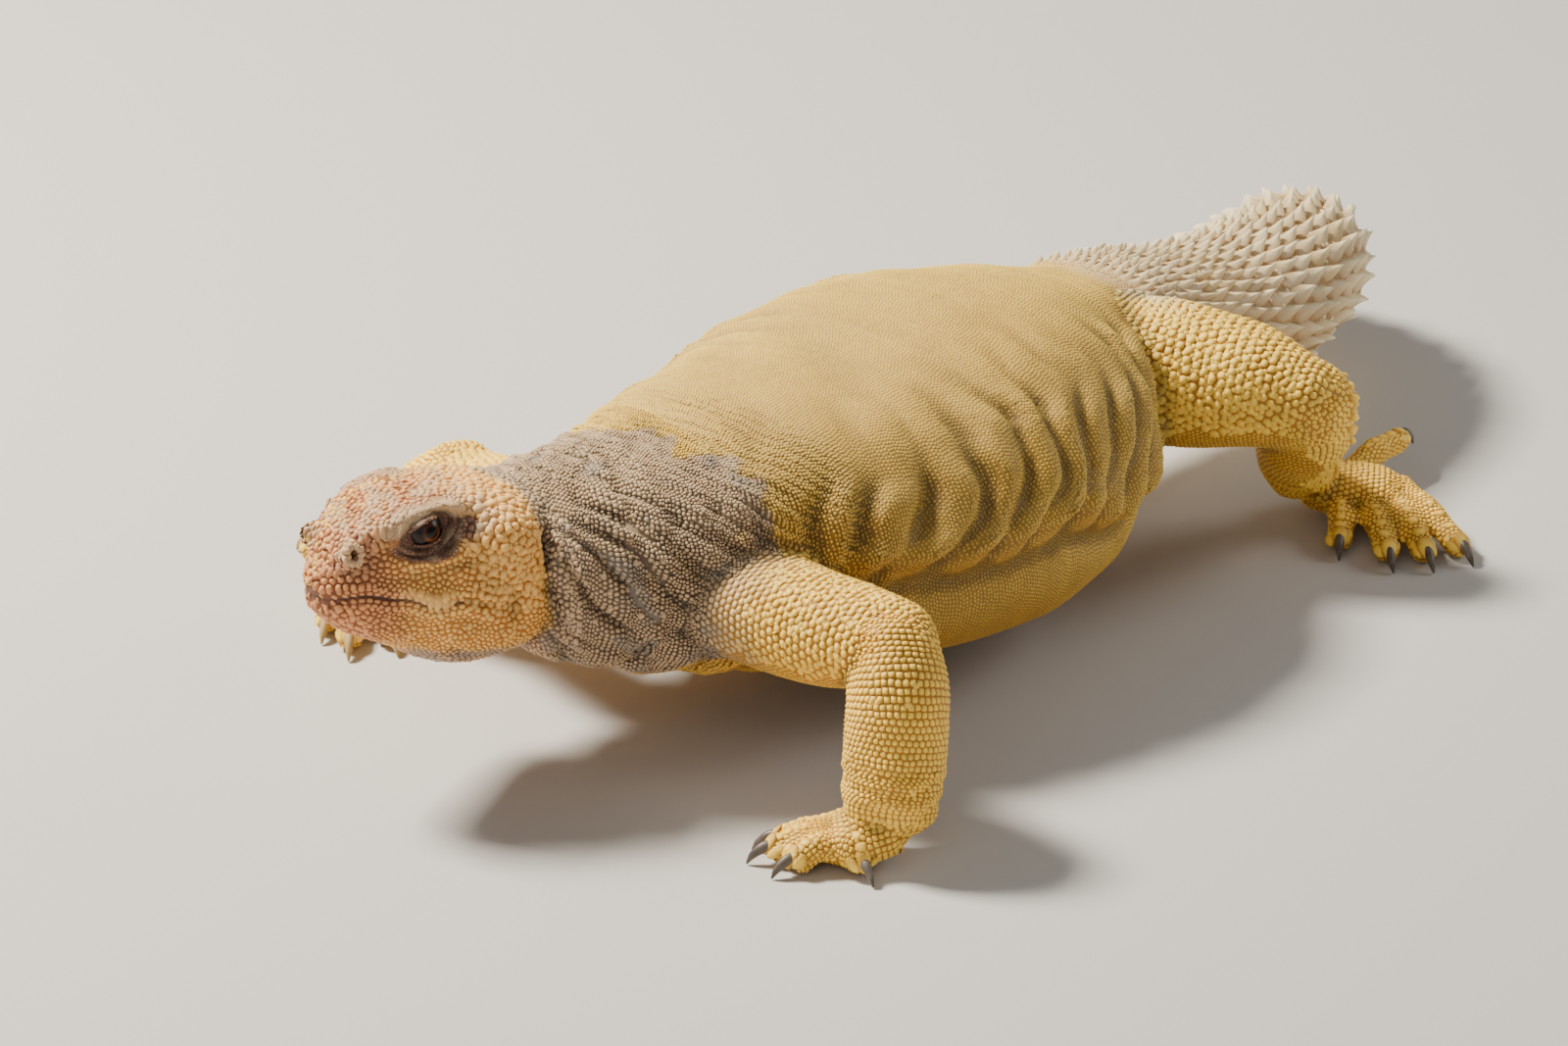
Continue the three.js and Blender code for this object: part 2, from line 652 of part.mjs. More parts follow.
const neck = largest(spineBody(station(0.2), NECK_END, 7).subtract(skullBody(GAP)));
addPart("neck", neck, FINISH.cape);
const torso = spineBody(behind(NECK_END), TORSO_END, TORSO_ROWS, { folds: true });
addPart("torso", torso, FINISH.body);
const torsoGrown = spineBody(behind(NECK_END), TORSO_END, TORSO_ROWS, { grow: GAP, folds: true });
const neckGrown = spineBody(station(0.2), NECK_END, 7, { grow: GAP });
const tailGrown = spineBody(behind(TORSO_END), station(12), 5, { grow: GAP });
const trunkGrown = joined([neckGrown, torsoGrown, tailGrown]);

TAIL_PARTS.forEach(([name, from, to]) => {
  const start = behind(from);
  const whole = tailBody(start, to).subtract(slab(from, true));
  addPart(name, onFloor(to < 1 ? whole.subtract(slab(to)) : whole), FINISH.tail);
});

// Everything past one end of a tail length: keeps the points of one length clear of the next
function slab(t, ahead = false) {
  const section = sectionAt(spine, t);
  const depth = 60;
  const geometry = new THREE.BoxGeometry(160, depth, 160);
  const centre = section.centre.clone();
  const shift = ahead ? GAP - depth / 2 : depth / 2;
  centre.addScaledVector(section.tangent, shift);
  const turn = new THREE.Matrix4().makeBasis(section.side, section.tangent, section.top);
  geometry.applyMatrix4(turn.setPosition(centre));
  return solid(geometry);
}

for (const [leg, parts] of Object.entries(LEGS)) {
  const [end, side] = leg.split("_");
  const [upperName, lowerName, footName] =
    end === "front" ? ["upper_arm", "forearm", "hand"] : ["thigh", "shank", "foot"];
  const radius = DIGIT_RADIUS[end];
  const upper = largest(limb(parts.upper).subtract(trunkGrown));
  const lower = largest(limb(parts.lower).subtract(limb(parts.upper, GAP)).subtract(trunkGrown));
  const foot = onFloor(footBody(parts, radius).subtract(limb(parts.lower, GAP)));
  addPart(upperName + "_" + side, upper, FINISH.limb);
  addPart(lowerName + "_" + side, lower, FINISH.limb);
  addPart(footName + "_" + side, foot, FINISH.limb);
  const footGrown = footBody(parts, radius, GAP);
  parts.digits.forEach((digit, i) => {
    const claw = clawBody(digit, CLAW_LENGTH[end]).subtract(footGrown);
    addPart(["claw", footName, side, i + 1].join("_"), largest(claw), FINISH.claw);
  });
}

const box = new THREE.Box3().setFromObject(stance);
stance.position.set(-(box.min.x + box.max.x) / 2, -(box.min.y + box.max.y) / 2, -box.min.z);

export default lizard;
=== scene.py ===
# %% [markdown]
# # A yellow spiny-tailed lizard, life size
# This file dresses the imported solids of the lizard. The solids keep the size and the collision; here the
# animal gets its folded hide, its scales, the thorny rings of its tail, its claws and its eyes.
# We start by loading the frame. Everything in Blender is in metres, while the sizes below are in
# millimetres, as the solids were drawn, and turn into metres when a mesh is made.

import math
from itertools import product

import bmesh
import bpy
import numpy as np
from mathutils import Matrix, Vector
from mathutils.bvhtree import BVHTree
from mathutils.kdtree import KDTree


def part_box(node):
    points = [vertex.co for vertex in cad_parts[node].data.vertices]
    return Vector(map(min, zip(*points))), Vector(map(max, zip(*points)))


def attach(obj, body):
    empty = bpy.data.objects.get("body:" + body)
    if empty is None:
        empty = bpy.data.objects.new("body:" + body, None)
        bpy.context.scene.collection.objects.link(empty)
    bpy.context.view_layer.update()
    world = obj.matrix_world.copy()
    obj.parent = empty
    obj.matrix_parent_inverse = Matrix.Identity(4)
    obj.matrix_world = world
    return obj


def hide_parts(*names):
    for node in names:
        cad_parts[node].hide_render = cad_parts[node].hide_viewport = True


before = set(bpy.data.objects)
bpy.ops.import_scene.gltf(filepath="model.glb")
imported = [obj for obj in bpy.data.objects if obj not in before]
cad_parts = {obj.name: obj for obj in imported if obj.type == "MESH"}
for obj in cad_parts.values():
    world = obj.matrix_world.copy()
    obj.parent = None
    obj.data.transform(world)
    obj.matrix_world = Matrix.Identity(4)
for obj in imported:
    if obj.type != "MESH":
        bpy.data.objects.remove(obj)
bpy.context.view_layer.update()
MM = 0.001  # metres in a millimetre
print(len(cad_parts), "solids loaded")

# %% [markdown]
# ## Curves, tubes and noise
# A lizard is a bundle of tapering tubes: trunk, tail, legs and toes. Each tube runs through a few
# stations that give a centre, a half width and half heights. One function turns stations into a
# surface that can be asked for any point, so that the hide and each scale on it read the same shape.

# %% Small helpers
def smooth(x, low, high):
    """0 below low, 1 above high, and an even S between them."""
    x = np.clip((np.asarray(x, float) - low) / (high - low), 0, 1)
    return x * x * (3 - 2 * x)


def mix(a, b, t):
    return a + (b - a) * t


def unit(v):
    return v / np.maximum(np.linalg.norm(v, axis=-1, keepdims=True), 1e-9)


def bell(x, middle, spread):
    """1 at the middle, falling to either side."""
    return np.exp(-(((x - middle) / spread) ** 2))


def rumple(p, size, seed, waves=7):
    """Soft noise between about -1 and 1, as a sum of waves in random directions."""
    draw = np.random.default_rng(seed)
    total = 0
    for _ in range(waves):
        way = unit(draw.normal(size=np.shape(p)[-1]))
        phase = p @ way * (2 * np.pi / size) * draw.uniform(0.6, 1.5)
        total = total + np.sin(phase + draw.uniform(0, 6.3))
    return total / math.sqrt(waves) / 1.3


# %% Smooth curves through stations
def curve(points):
    """A smooth line through the points, to be asked with t from 0 to 1."""
    points = np.array(points, float)
    more = np.vstack([2 * points[0] - points[1], points, 2 * points[-1] - points[-2]])
    spans = len(points) - 1

    def at(t):
        t = np.clip(np.asarray(t, float), 0, 1) * spans
        i = np.minimum(t.astype(int), spans - 1)
        w = (t - i)[..., None]
        p = [more[i + k] for k in range(4)]
        d = [
            np.maximum(np.sqrt(np.linalg.norm(p[k + 1] - p[k], axis=-1, keepdims=True)), 1e-2)
            for k in range(3)
        ]
        m1 = ((p[1] - p[0]) / d[0] - (p[2] - p[0]) / (d[0] + d[1]) + (p[2] - p[1]) / d[1]) * d[1]
        m2 = ((p[2] - p[1]) / d[1] - (p[3] - p[1]) / (d[1] + d[2]) + (p[3] - p[2]) / d[2]) * d[1]
        step = p[2] - p[1]
        return p[1] + m1 * w + (3 * step - 2 * m1 - m2) * w**2 + (m1 + m2 - 2 * step) * w**3

    return at


# %% A tube that can be asked for any of its points
def tube(stations, up=(0, 0, 1), square=2.2, low=None, ripple=None, ends=(1, 1)):
    """Point at t along (0 to 1, and up to 1 more round each end) and angle a up from the left side."""
    centre = curve([s[:3] for s in stations])
    size = curve([s[3:6] for s in stations])
    up = np.array(up, float)

    def at(t, a, grow=0.0):
        t, a = np.broadcast_arrays(np.asarray(t, float), np.asarray(a, float))
        inner = np.clip(t, 0, 1)
        along = unit(centre(np.minimum(inner + 1e-4, 1)) - centre(np.maximum(inner - 1e-4, 0)))
        side = unit(np.cross(along, up))
        top = np.cross(side, along)
        w, high, deep = np.moveaxis(size(inner), -1, 0)
        c, s = np.cos(a), np.sin(a)
        power = 2 / np.where(s < 0, low or square, square)
        out = grow + (ripple(inner, a) if ripple else 0.0)
        past = np.clip(t - 1, 0, 1) * (np.pi / 2) - np.clip(-t, 0, 1) * (np.pi / 2)
        share = np.cos(past)
        reach = np.where(past < 0, ends[0], ends[1]) * np.minimum(w, high) * 0.88
        flank = np.sign(c) * np.abs(c) ** power * (w + out)
        rise = np.sign(s) * np.abs(s) ** power * (np.where(s > 0, high, deep) + out)
        return (
            centre(inner)
            + along * (np.sin(past) * (reach + grow))[..., None]
            + side * (flank * share)[..., None]
            + top * (rise * share)[..., None]
        )

    at.centre, at.size = centre, size
    return at


# %% [markdown]
# ## Where the solids stand
# The solids were moved so that their box is centred over the floor's origin. The left eye tells us by
# how much: we know where its centre was drawn, and the frame says where it is now.

# %% The head's own axes
HEAD_YAW, HEAD_ROLL = math.radians(18), math.radians(6)
SNOUT = np.array([-46, -57, 60.0])
back_axis = np.array([math.sin(HEAD_YAW), math.cos(HEAD_YAW), 0])
left_axis = np.array(
    [
        math.cos(HEAD_YAW) * math.cos(HEAD_ROLL),
        -math.sin(HEAD_YAW) * math.cos(HEAD_ROLL),
        math.sin(HEAD_ROLL),
    ]
)
up_axis = np.cross(left_axis, back_axis)
EYE = {"back": 24.5, "out": 13.3, "z": 73.6, "radius": 5.0, "long": 6.0, "high": 2.75, "tilt": 15}
NOSTRIL = {"back": 6.4, "out": 10.2, "z": 70.2}


def head_point(back, left, z):
    back, left, z = (np.asarray(v, float)[..., None] for v in (back, left, z))
    return SNOUT + back * back_axis + left * left_axis + (z - SNOUT[2]) * up_axis


eye_box = [np.array(corner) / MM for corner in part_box("eye_left")]
SHIFT = (eye_box[0] + eye_box[1]) / 2 - head_point(EYE["back"], EYE["out"], EYE["z"])
print("the solids stand", np.round(SHIFT, 2), "mm from where they were drawn")

# %% [markdown]
# ## Neck, trunk and tail
# One tube carries the neck, the trunk and the core of the tail. A basking lizard's hide is too big for
# it: it hangs in upright folds down the flank, gathers over a long fold where the flank meets the
# belly, and is crumpled all round the neck. The folds are ripples of the tube. A real fold has a round
# top and a sharp valley, so the ripple is a rectified wave and not a plain sine.

# %% Stations of the spine
SPINE = [
    (-34, -16, 58, 16, 15.5, 18), (-27, -1, 57, 22.5, 19.5, 24), (-17, 14, 56, 30, 24, 27),
    (-9, 31, 54, 38, 29, 30), (-4, 56, 52, 48, 33, 36), (0, 86, 50, 56, 36, 39),
    (1, 115, 50, 60, 38, 42), (1, 143, 50, 56, 36.5, 39), (0, 168, 49, 43, 31, 31),
    (0, 191, 48, 32, 25, 24), (-1, 212, 47, 28, 22, 21), (1, 237, 43, 26.5, 19.5, 20),
    (3, 261, 41, 24.5, 18, 18), (0, 284, 40, 22, 16.5, 16), (-9, 305, 37, 19.5, 15, 14.5),
    (-24, 321, 31, 17, 13.5, 13), (-43, 325, 20, 14.5, 11, 11), (-58, 311, 10.6, 12, 9, 9.2),
    (-66, 288, 7, 9.2, 7.2, 7.6), (-72, 264, 5.3, 6.2, 5.2, 5.8), (-78, 242, 3.4, 3.4, 3.2, 3.8),
    (-81, 231, 2.1, 1.6, 1.6, 2.4),
]  # fmt: skip
SPANS = len(SPINE) - 1
spine_centre = curve([s[:3] for s in SPINE])


def spine_t(y):
    """The spine's parameter where the trunk crosses y, ahead of the tail's bend."""
    t = np.linspace(0, 14 / SPANS, 400)
    return np.interp(y, spine_centre(t)[:, 1], t)


# %% Folds of the hide
FOLD_PITCH, FOLD_DEPTH = 12.8, 9.2
WRINKLE_PITCH, WRINKLE_DEPTH = 5.3, 1.2
FOLD_HEIGHTS = [-0.1, 0.01, 0.2, 0.44, 0.65, 0.85]  # sine of the angle up the flank
FOLD_BACK = [-19, -14, -5, 0, 4, 5]  # how far back a fold lies at each of them


def ridge(phase, sharp=0.75):
    """A wave with round tops and sharp valleys, one for each whole step of the phase."""
    return np.abs(np.sin(np.pi * phase)) ** sharp - 0.62


def hide_ripple(t, a):
    y = spine_centre(t)[..., 1]
    s, c = np.sin(a), np.cos(a)
    spot = np.stack([y, 46 * c, 38 * s], -1)
    wander = 0.16 * rumple(spot, 52, 3) + 0.14 * rumple(spot, 21, 4)
    seam = -0.17 * smooth(y, 108, 140) + 0.03 * rumple(spot, 60, 6)
    # flank folds, sweeping forward where they go down, with weaker wrinkles between them
    fading = s + 0.16 * rumple(spot, 30, 9)
    flank = smooth(s - seam, -0.08, 0.04) * (1 - 0.85 * smooth(fading, 0.38, 0.78))
    flank = flank * (1 - smooth(s, 0.84, 0.97))
    flank = flank * smooth(y, 30, 48) * (1 - smooth(y, 178, 193))
    depth = FOLD_DEPTH * (0.7 + 0.32 * rumple(spot, 40, 5)) * (0.55 + 0.45 * smooth(y, 46, 64))
    sweep = y - np.interp(s, FOLD_HEIGHTS, FOLD_BACK)
    folds = flank * depth * ridge(sweep / FOLD_PITCH + 0.19 + wander, 0.8)
    wrinkles = flank * WRINKLE_DEPTH * ridge(sweep / WRINKLE_PITCH + 2.2 * wander, 0.6)
    # the long fold between flank and belly, and the tuck under it
    length = smooth(y, 34, 60) * (1 - smooth(y, 176, 192))
    tuck = 2.6 * bell(s, seam + 0.08, 0.08) - 2.6 * bell(s, seam - 0.1, 0.07)
    lateral = length * (tuck + 1.2 * bell(s, -0.5, 0.25))
    # the crumpled neck: slanting folds above, heavy ones under the throat
    neck = smooth(y, -9, 3) * (1 - smooth(y, 34, 50))
    under = smooth(-s, 0.1, 0.7)
    crown = 0.25 + 0.75 * (1 - smooth(s, 0.5, 0.98))
    slanting = 4.8 * ridge((y + 26 * s) / 7.4 + wander * 2.4, 0.5)
    fine = crown * (slanting + 1.9 * ridge((y + 22 * s) / 3.7 + 2 * wander, 0.6))
    heavy = 5.0 * ridge((y - 7 * s) / 11 + wander * 2.4, 0.5)
    crumple = neck * mix(fine, heavy, under)
    # creases where the legs push the hide
    shoulder = bell(y, 54, 14) * bell(s, 0.0, 0.55) * 2.2 * ridge((y - 16 * s) / 8.5 + wander, 0.7)
    groin = bell(y, 180, 12) * bell(s, 0.0, 0.6) * 2.0 * ridge((y + 12 * s) / 7.5 + wander, 0.7)
    loose = 0.4 * rumple(spot, 24, 8) * smooth(y, -8, 10) * (1 - smooth(y, 190, 205))
    return folds + wrinkles + lateral + crumple + shoulder + groin + loose


trunk = tube(SPINE, square=2.25, low=2.9, ripple=hide_ripple)
tail_core = tube(SPINE, square=2.25, low=2.5)
spine_steps = np.linalg.norm(np.diff(spine_centre(np.linspace(0, 1, 200)), axis=0), axis=1)
print("the spine is", round(float(spine_steps.sum())), "mm long from the neck to the tail's tip")

# %% [markdown]
# ## The head
# A spiny-tailed lizard has a short, deep, blunt head like a tortoise's. The skull is one more tube, on
# axes that turn and roll with the head. The line of the mouth is a groove that follows the side of the
# face and dips at the pointed lip scales below the eye; cheek, jowl, brow and nose are soft swellings.

# %% Stations of the skull and the line of the mouth
SKULL = [
    (0, 61.5, 1.6, 1.6, 2), (0.9, 61.4, 4.8, 5, 5), (3, 61, 7.8, 9.6, 8.2), (7, 60.5, 10.7, 15.2, 11.5),
    (14, 59.5, 14.1, 19.6, 15), (22, 59, 17.5, 21, 18.5), (31, 58, 21, 22, 21), (40, 57, 23.5, 22, 22),
    (48, 56.5, 24, 21.5, 21.5), (55, 56.5, 22, 20, 20.5), (60, 56.5, 19, 18, 18),
]  # fmt: skip
MOUTH = [(0, 58.5), (8, 59.2), (16, 57.4), (25, 54.2), (31, 54.8), (40, 52.4), (60, 50.5)]
SWELLINGS = [  # back, degrees up the side, out, spread along, spread round
    (43, 24, 2.6, 9, 22), (44, -34, 2.4, 10, 18), (24, 14, 1.6, 6, 9), (25, 58, 1.6, 12, 20),
    (14, 46, 1.4, 7, 14), (8, 42, 1.0, 5, 18), (40, -90, 2.6, 14, 34), (34.5, 40, -1.3, 4, 9),
]  # fmt: skip
skull_stations = [(*head_point(b, 0, m), w, u, d) for b, m, w, u, d in SKULL]
skull_centre = curve([s[:3] for s in skull_stations])
skull_size = curve([s[3:] for s in skull_stations])


def mouth_level(back):
    """Height of the line of the mouth, at a distance behind the snout."""
    places = np.array(MOUTH, float)
    i = np.clip(np.searchsorted(places[:, 0], back) - 1, 0, len(places) - 2)
    low, high = places[i], places[i + 1]
    share = (back - low[..., 0]) / (high[..., 0] - low[..., 0])
    return mix(low[..., 1], high[..., 1], smooth(share, 0, 1))


def face_ripple(t, a):
    centre = skull_centre(t)
    _, high, deep = np.moveaxis(skull_size(t), -1, 0)
    back = (centre - SNOUT) @ back_axis
    s = np.sin(a)
    face = np.arcsin(np.clip(s, -1, 1))
    over_centre = np.where(s > 0, high * np.abs(s) ** 0.65, -deep * np.abs(s) ** 0.83)
    level = (centre - SNOUT) @ up_axis + SNOUT[2] + over_centre
    squeeze = np.minimum(1, deep / 11)
    off = level - mouth_level(back)
    on = (1 - smooth(back, 38, 44)) * squeeze * smooth(np.abs(np.cos(a)), 0.02, 0.1)
    lips = on * (0.8 * bell(np.abs(off), 2.1, 1.6) - 1.2 * bell(off, 0, 0.5))
    swell = sum(
        out
        * np.exp(-(((back - b) / along) ** 2) - ((face - math.radians(up)) / math.radians(around)) ** 2)
        for b, up, out, along, around in SWELLINGS
    )
    fold = 1.3 * bell(back, 26, 7) * bell(level, 66.6 + 0.1 * (back - 26), 1.5)
    crease = -0.9 * bell(back, 27, 8) * bell(level, 64.4, 0.9)
    crease = crease - 1.2 * bell(back, 44, 2.2) * bell(off, -1, 4.5)
    spot = head_point(back, 22 * np.cos(a), level)
    return swell + lips + fold + crease + 0.22 * rumple(spot, 7, 12) * smooth(back, 3, 12)


skull = tube(skull_stations, up=up_axis, square=3.1, low=2.4, ripple=face_ripple)

# %% [markdown]
# ## Legs and toes
# Each leg is two tubes and a foot pad with five toes. The hide lies in rings at the wrist and the ankle
# and bunches inside the elbow and the knee.

# %% Stations of the legs
LEGS = {  # a station is a centre, a half width and half heights; a digit runs from its root to its tip
    "front_left": {
        "upper": [
            (12, 24, 48, 15, 14, 14), (36, 24, 48, 15, 14, 15),
            (58, 24, 49, 14, 13, 14), (74, 23, 50, 12, 11, 11),
        ],
        "lower": [
            (75, 22, 51, 10.5, 10.5, 10.5), (79, 17, 41, 13, 12.5, 12.5),
            (81.5, 13, 29, 13, 12, 12), (82.5, 9.5, 16, 11.8, 10.5, 10.5),
        ],
        "foot": ((82.5, 9, 8.3), (75, 2.5, 6.2), 11, 6.4),
        "digits": [
            ((71, 6, 6), (64, 3, 3.2)), ((69, 2.5, 6), (59.5, -4, 3.2)),
            ((70, -0.5, 6.2), (62, -9.5, 3.4)), ((74, -2, 6.2), (70, -10.8, 3.3)),
            ((77, 0.5, 6), (83, -2.5, 3.3)),
        ],
    },
    "front_right": {
        "upper": [
            (-26, 26, 48, 14, 13, 14), (-45, 29, 48, 13.5, 12.5, 14),
            (-63, 33, 47, 12.5, 11.5, 13), (-78, 37, 45, 11, 10, 11),
        ],
        "lower": [
            (-79, 38, 47, 10, 10, 10), (-89, 40, 36, 12.5, 12, 12),
            (-98, 43, 25, 12.3, 11.5, 11.5), (-106, 46, 15, 11, 10, 10),
        ],
        "foot": ((-108, 47, 8.3), (-115, 41, 6.2), 11, 6.4),
        "digits": [
            ((-108, 38, 6), (-95, 34, 3.2)), ((-109, 35, 6), (-92, 24, 3.2)),
            ((-112, 33, 6.2), (-98.5, 15.8, 3.3)), ((-117, 34, 6.2), (-109.5, 19.8, 3.3)),
            ((-121, 44, 6), (-142, 50.5, 3.3)),
        ],
    },
    "hind_left": {
        "upper": [
            (6, 188, 50, 19, 19, 19), (26, 194, 51, 20, 19.5, 19),
            (46, 202, 50, 17.5, 17.5, 16.5), (62, 208, 48, 13.5, 13, 12),
        ],
        "lower": [
            (64, 209.5, 48, 11.5, 11.5, 11.5), (60, 214.5, 38, 12.5, 12.5, 12),
            (53, 221, 28, 11, 10.5, 10.5), (48.5, 227.5, 19, 9.5, 9, 9),
        ],
        "foot": ((48, 237, 10), (61, 246, 7.1), 11.4, 7),
        "digits": [
            ((57, 236, 7), (65.5, 223.5, 3.1)), ((62, 240, 7.5), (79.7, 225, 3.1)),
            ((65, 246, 8), (87.5, 231, 3.1)), ((64, 252, 8), (92.8, 239.5, 3.1)),
            ((50, 250, 9), (50, 272, 10.5)),
        ],
    },
    "hind_right": {
        "upper": [
            (-8, 190, 47, 19, 18, 17), (-28, 184, 47, 19, 18, 17),
            (-47, 177, 46, 17, 15.5, 15), (-63, 171, 44, 13.5, 12.5, 12),
        ],
        "lower": [
            (-66, 171, 44, 11.5, 11.5, 11.5), (-68, 179, 35, 12.5, 12, 12),
            (-70, 189, 26, 11, 10.5, 10.5), (-71, 198, 18, 9.5, 9, 9),
        ],
        "foot": ((-73, 205, 10), (-79, 193, 7.1), 11.4, 7),
        "digits": [
            ((-73, 188, 7), (-71, 174.5, 3.1)), ((-78, 185, 7.5), (-82, 166, 3.1)),
            ((-84, 186, 8), (-94, 164, 3.1)), ((-87, 191, 8), (-105, 170.5, 3.1)),
            ((-83, 200, 7), (-99, 198, 3.1)),
        ],
    },
}  # fmt: skip
DIGIT_RADIUS = {"front": 4.0, "hind": 3.9}
CLAW_LENGTH = {"front": 7.2, "hind": 6.6}


# %% The tubes of one leg
def upper_ripple(seed):
    def ripple(t, a):
        spot = np.stack([t * 62, 14 * np.cos(a), 14 * np.sin(a)], -1)
        bend = smooth(t, 0.72, 0.95)
        return 0.5 * rumple(spot, 26, seed) + bend * 0.6 * ridge(t * 13 + 0.2 * rumple(spot, 20, seed + 1))

    return ripple


def lower_ripple(seed):
    def ripple(t, a):
        spot = np.stack([t * 45, 11 * np.cos(a), 11 * np.sin(a)], -1)
        wrist = smooth(t, 0.62, 0.8)
        elbow = 1 - smooth(t, 0.12, 0.3)
        rings = ridge(t * 8 + 0.35 * np.sin(a * 2 + seed) + 0.3 * rumple(spot, 20, seed))
        return 0.45 * rumple(spot, 22, seed + 2) + (2.9 * wrist + 0.8 * elbow) * rings

    return ripple


def knuckles(t, a):
    return 0.28 * np.cos(t * 4 * np.pi + 0.5) * (0.6 + 0.4 * np.sin(a))


def turned_up(stations):
    """What counts as up for a tube: forward where it runs down steeply, so that it doesn't twist."""
    return (0, -1, 0) if abs(stations[0][2] - stations[3][2]) > 20 else (0, 0, 1)


def digit_stations(start, end, radius):
    """A toe arches over its middle knuckle."""
    start, end = np.array(start, float), np.array(end, float)
    knuckle = (start + end) / 2 + (0, 0, 1.4)
    return [
        (*start, *(radius * k for k in (0.95, 0.95, 0.95))),
        (*knuckle, *(radius * k for k in (0.98, 0.9, 0.95))),
        (*end, *(radius * k for k in (0.9, 0.82, 0.9))),
    ]


def leg_tubes(name):
    """The two tubes, the pad and the five digits of a leg."""
    leg, end = LEGS[name], name.split("_")[0]
    seed = 20 + 3 * list(LEGS).index(name)
    heel, palm, w, high = leg["foot"]
    toe = np.array(palm) * 1.35 - np.array(heel) * 0.35
    toe[2] = palm[2] - 1
    pad = [(*at, w * k, high * k, high * 1.1 * k) for at, k in ((heel, 0.85), (palm, 1), (toe, 0.75))]
    parts = {
        part: tube(leg[part], up=turned_up(leg[part]), square=2.1, ripple=ripple(seed))
        for part, ripple in (("upper", upper_ripple), ("lower", lower_ripple))
    }
    parts["pad"] = tube(pad)
    for i, (start, tip) in enumerate(leg["digits"]):
        stations = digit_stations(start, tip, DIGIT_RADIUS[end])
        parts[f"digit_{i + 1}"] = tube(stations, ripple=knuckles, ends=(0.6, 0.8))
    return parts


legs = {name: leg_tubes(name) for name in LEGS}
print(sum(len(parts) for parts in legs.values()), "tubes in the legs")

# %% [markdown]
# ## From tubes to one hide
# A grid of faces is rolled up over each tube and welded along its seam. All the closed tubes are then
# fused by a voxel remesh, which leaves no seam where a leg meets the trunk. The head and neck need
# smaller voxels than the body, and the tail can do with larger ones, so there are three shells. Each
# overlaps the next one inside it.

# %% Roll a grid over a tube
COAT = 0.35  # the hide lies this far inside the solids, under its scales


def rolled(form, rows, sides, first=-1.0, last=2.0, cap_rows=6, grow=-COAT):
    """A closed mesh over a tube. first and last in 0 to 1 end it flat there instead of rounded."""
    start = [first] if first >= 0 else list(np.linspace(-1, 0, cap_rows, endpoint=False))
    stop = [last] if last <= 1 else list(np.linspace(1, 2, cap_rows + 1)[1:])
    middle = list(np.linspace(max(first, 0), min(last, 1), rows))
    steps = np.array(sorted(set(start + middle + stop)))
    bm = bmesh.new()
    bmesh.ops.create_grid(bm, x_segments=sides, y_segments=len(steps) - 1, size=1)
    flat = np.array([v.co[:2] for v in bm.verts])
    around = (flat[:, 0] + 1) * np.pi
    row = np.rint((flat[:, 1] + 1) / 2 * (len(steps) - 1)).astype(int)
    points = (form(steps[row], around, grow) + SHIFT) * MM
    for vert, point in zip(bm.verts, points):
        vert.co = point
    bmesh.ops.remove_doubles(bm, verts=bm.verts, dist=2e-6)
    open_edges = [e for e in bm.edges if e.is_boundary]
    if open_edges:
        bmesh.ops.holes_fill(bm, edges=open_edges)
    bmesh.ops.recalc_face_normals(bm, faces=bm.faces)
    return bm


def into(bm, other):
    """Adds another bmesh to bm and frees it."""
    spare = bpy.data.meshes.new("spare")
    other.to_mesh(spare)
    other.free()
    bm.from_mesh(spare)
    bpy.data.meshes.remove(spare)


def egg(bm, centre, half, tilt=0.0, toe_in=0.0):
    """A squashed ball on the head's axes."""
    turn = Matrix.Rotation(math.radians(toe_in), 4, "Z") @ Matrix.Rotation(math.radians(tilt), 4, "X")
    frame_turn = Matrix(np.array([left_axis, back_axis, up_axis]).T.tolist()).to_4x4()
    place = Matrix.Translation(Vector((centre + SHIFT) * MM))
    size = Matrix.Diagonal((*[h * MM for h in half], 1))
    matrix = place @ frame_turn @ turn @ size
    bmesh.ops.create_uvsphere(bm, u_segments=32, v_segments=20, radius=1, matrix=matrix)


def piece(name, bm, smooth_faces=True):
    """An object of its own made from a bmesh, which is freed."""
    mesh = bpy.data.meshes.new(name)
    bm.to_mesh(mesh)
    bm.free()
    obj = bpy.data.objects.new(name, mesh)
    bpy.context.scene.collection.objects.link(obj)
    if smooth_faces:
        mesh.shade_smooth()
    return obj


def fused(name, bm, voxel, passes):
    """One closed skin round everything in bm."""
    obj = piece(name, bm)
    remesh = obj.modifiers.new("fuse", "REMESH")
    remesh.mode, remesh.voxel_size, remesh.use_smooth_shade = "VOXEL", voxel * MM, True
    even = obj.modifiers.new("even", "SMOOTH")
    even.factor, even.iterations = 0.5, passes
    baked = bpy.data.meshes.new_from_object(obj.evaluated_get(bpy.context.evaluated_depsgraph_get()))
    bpy.data.objects.remove(obj)
    return baked


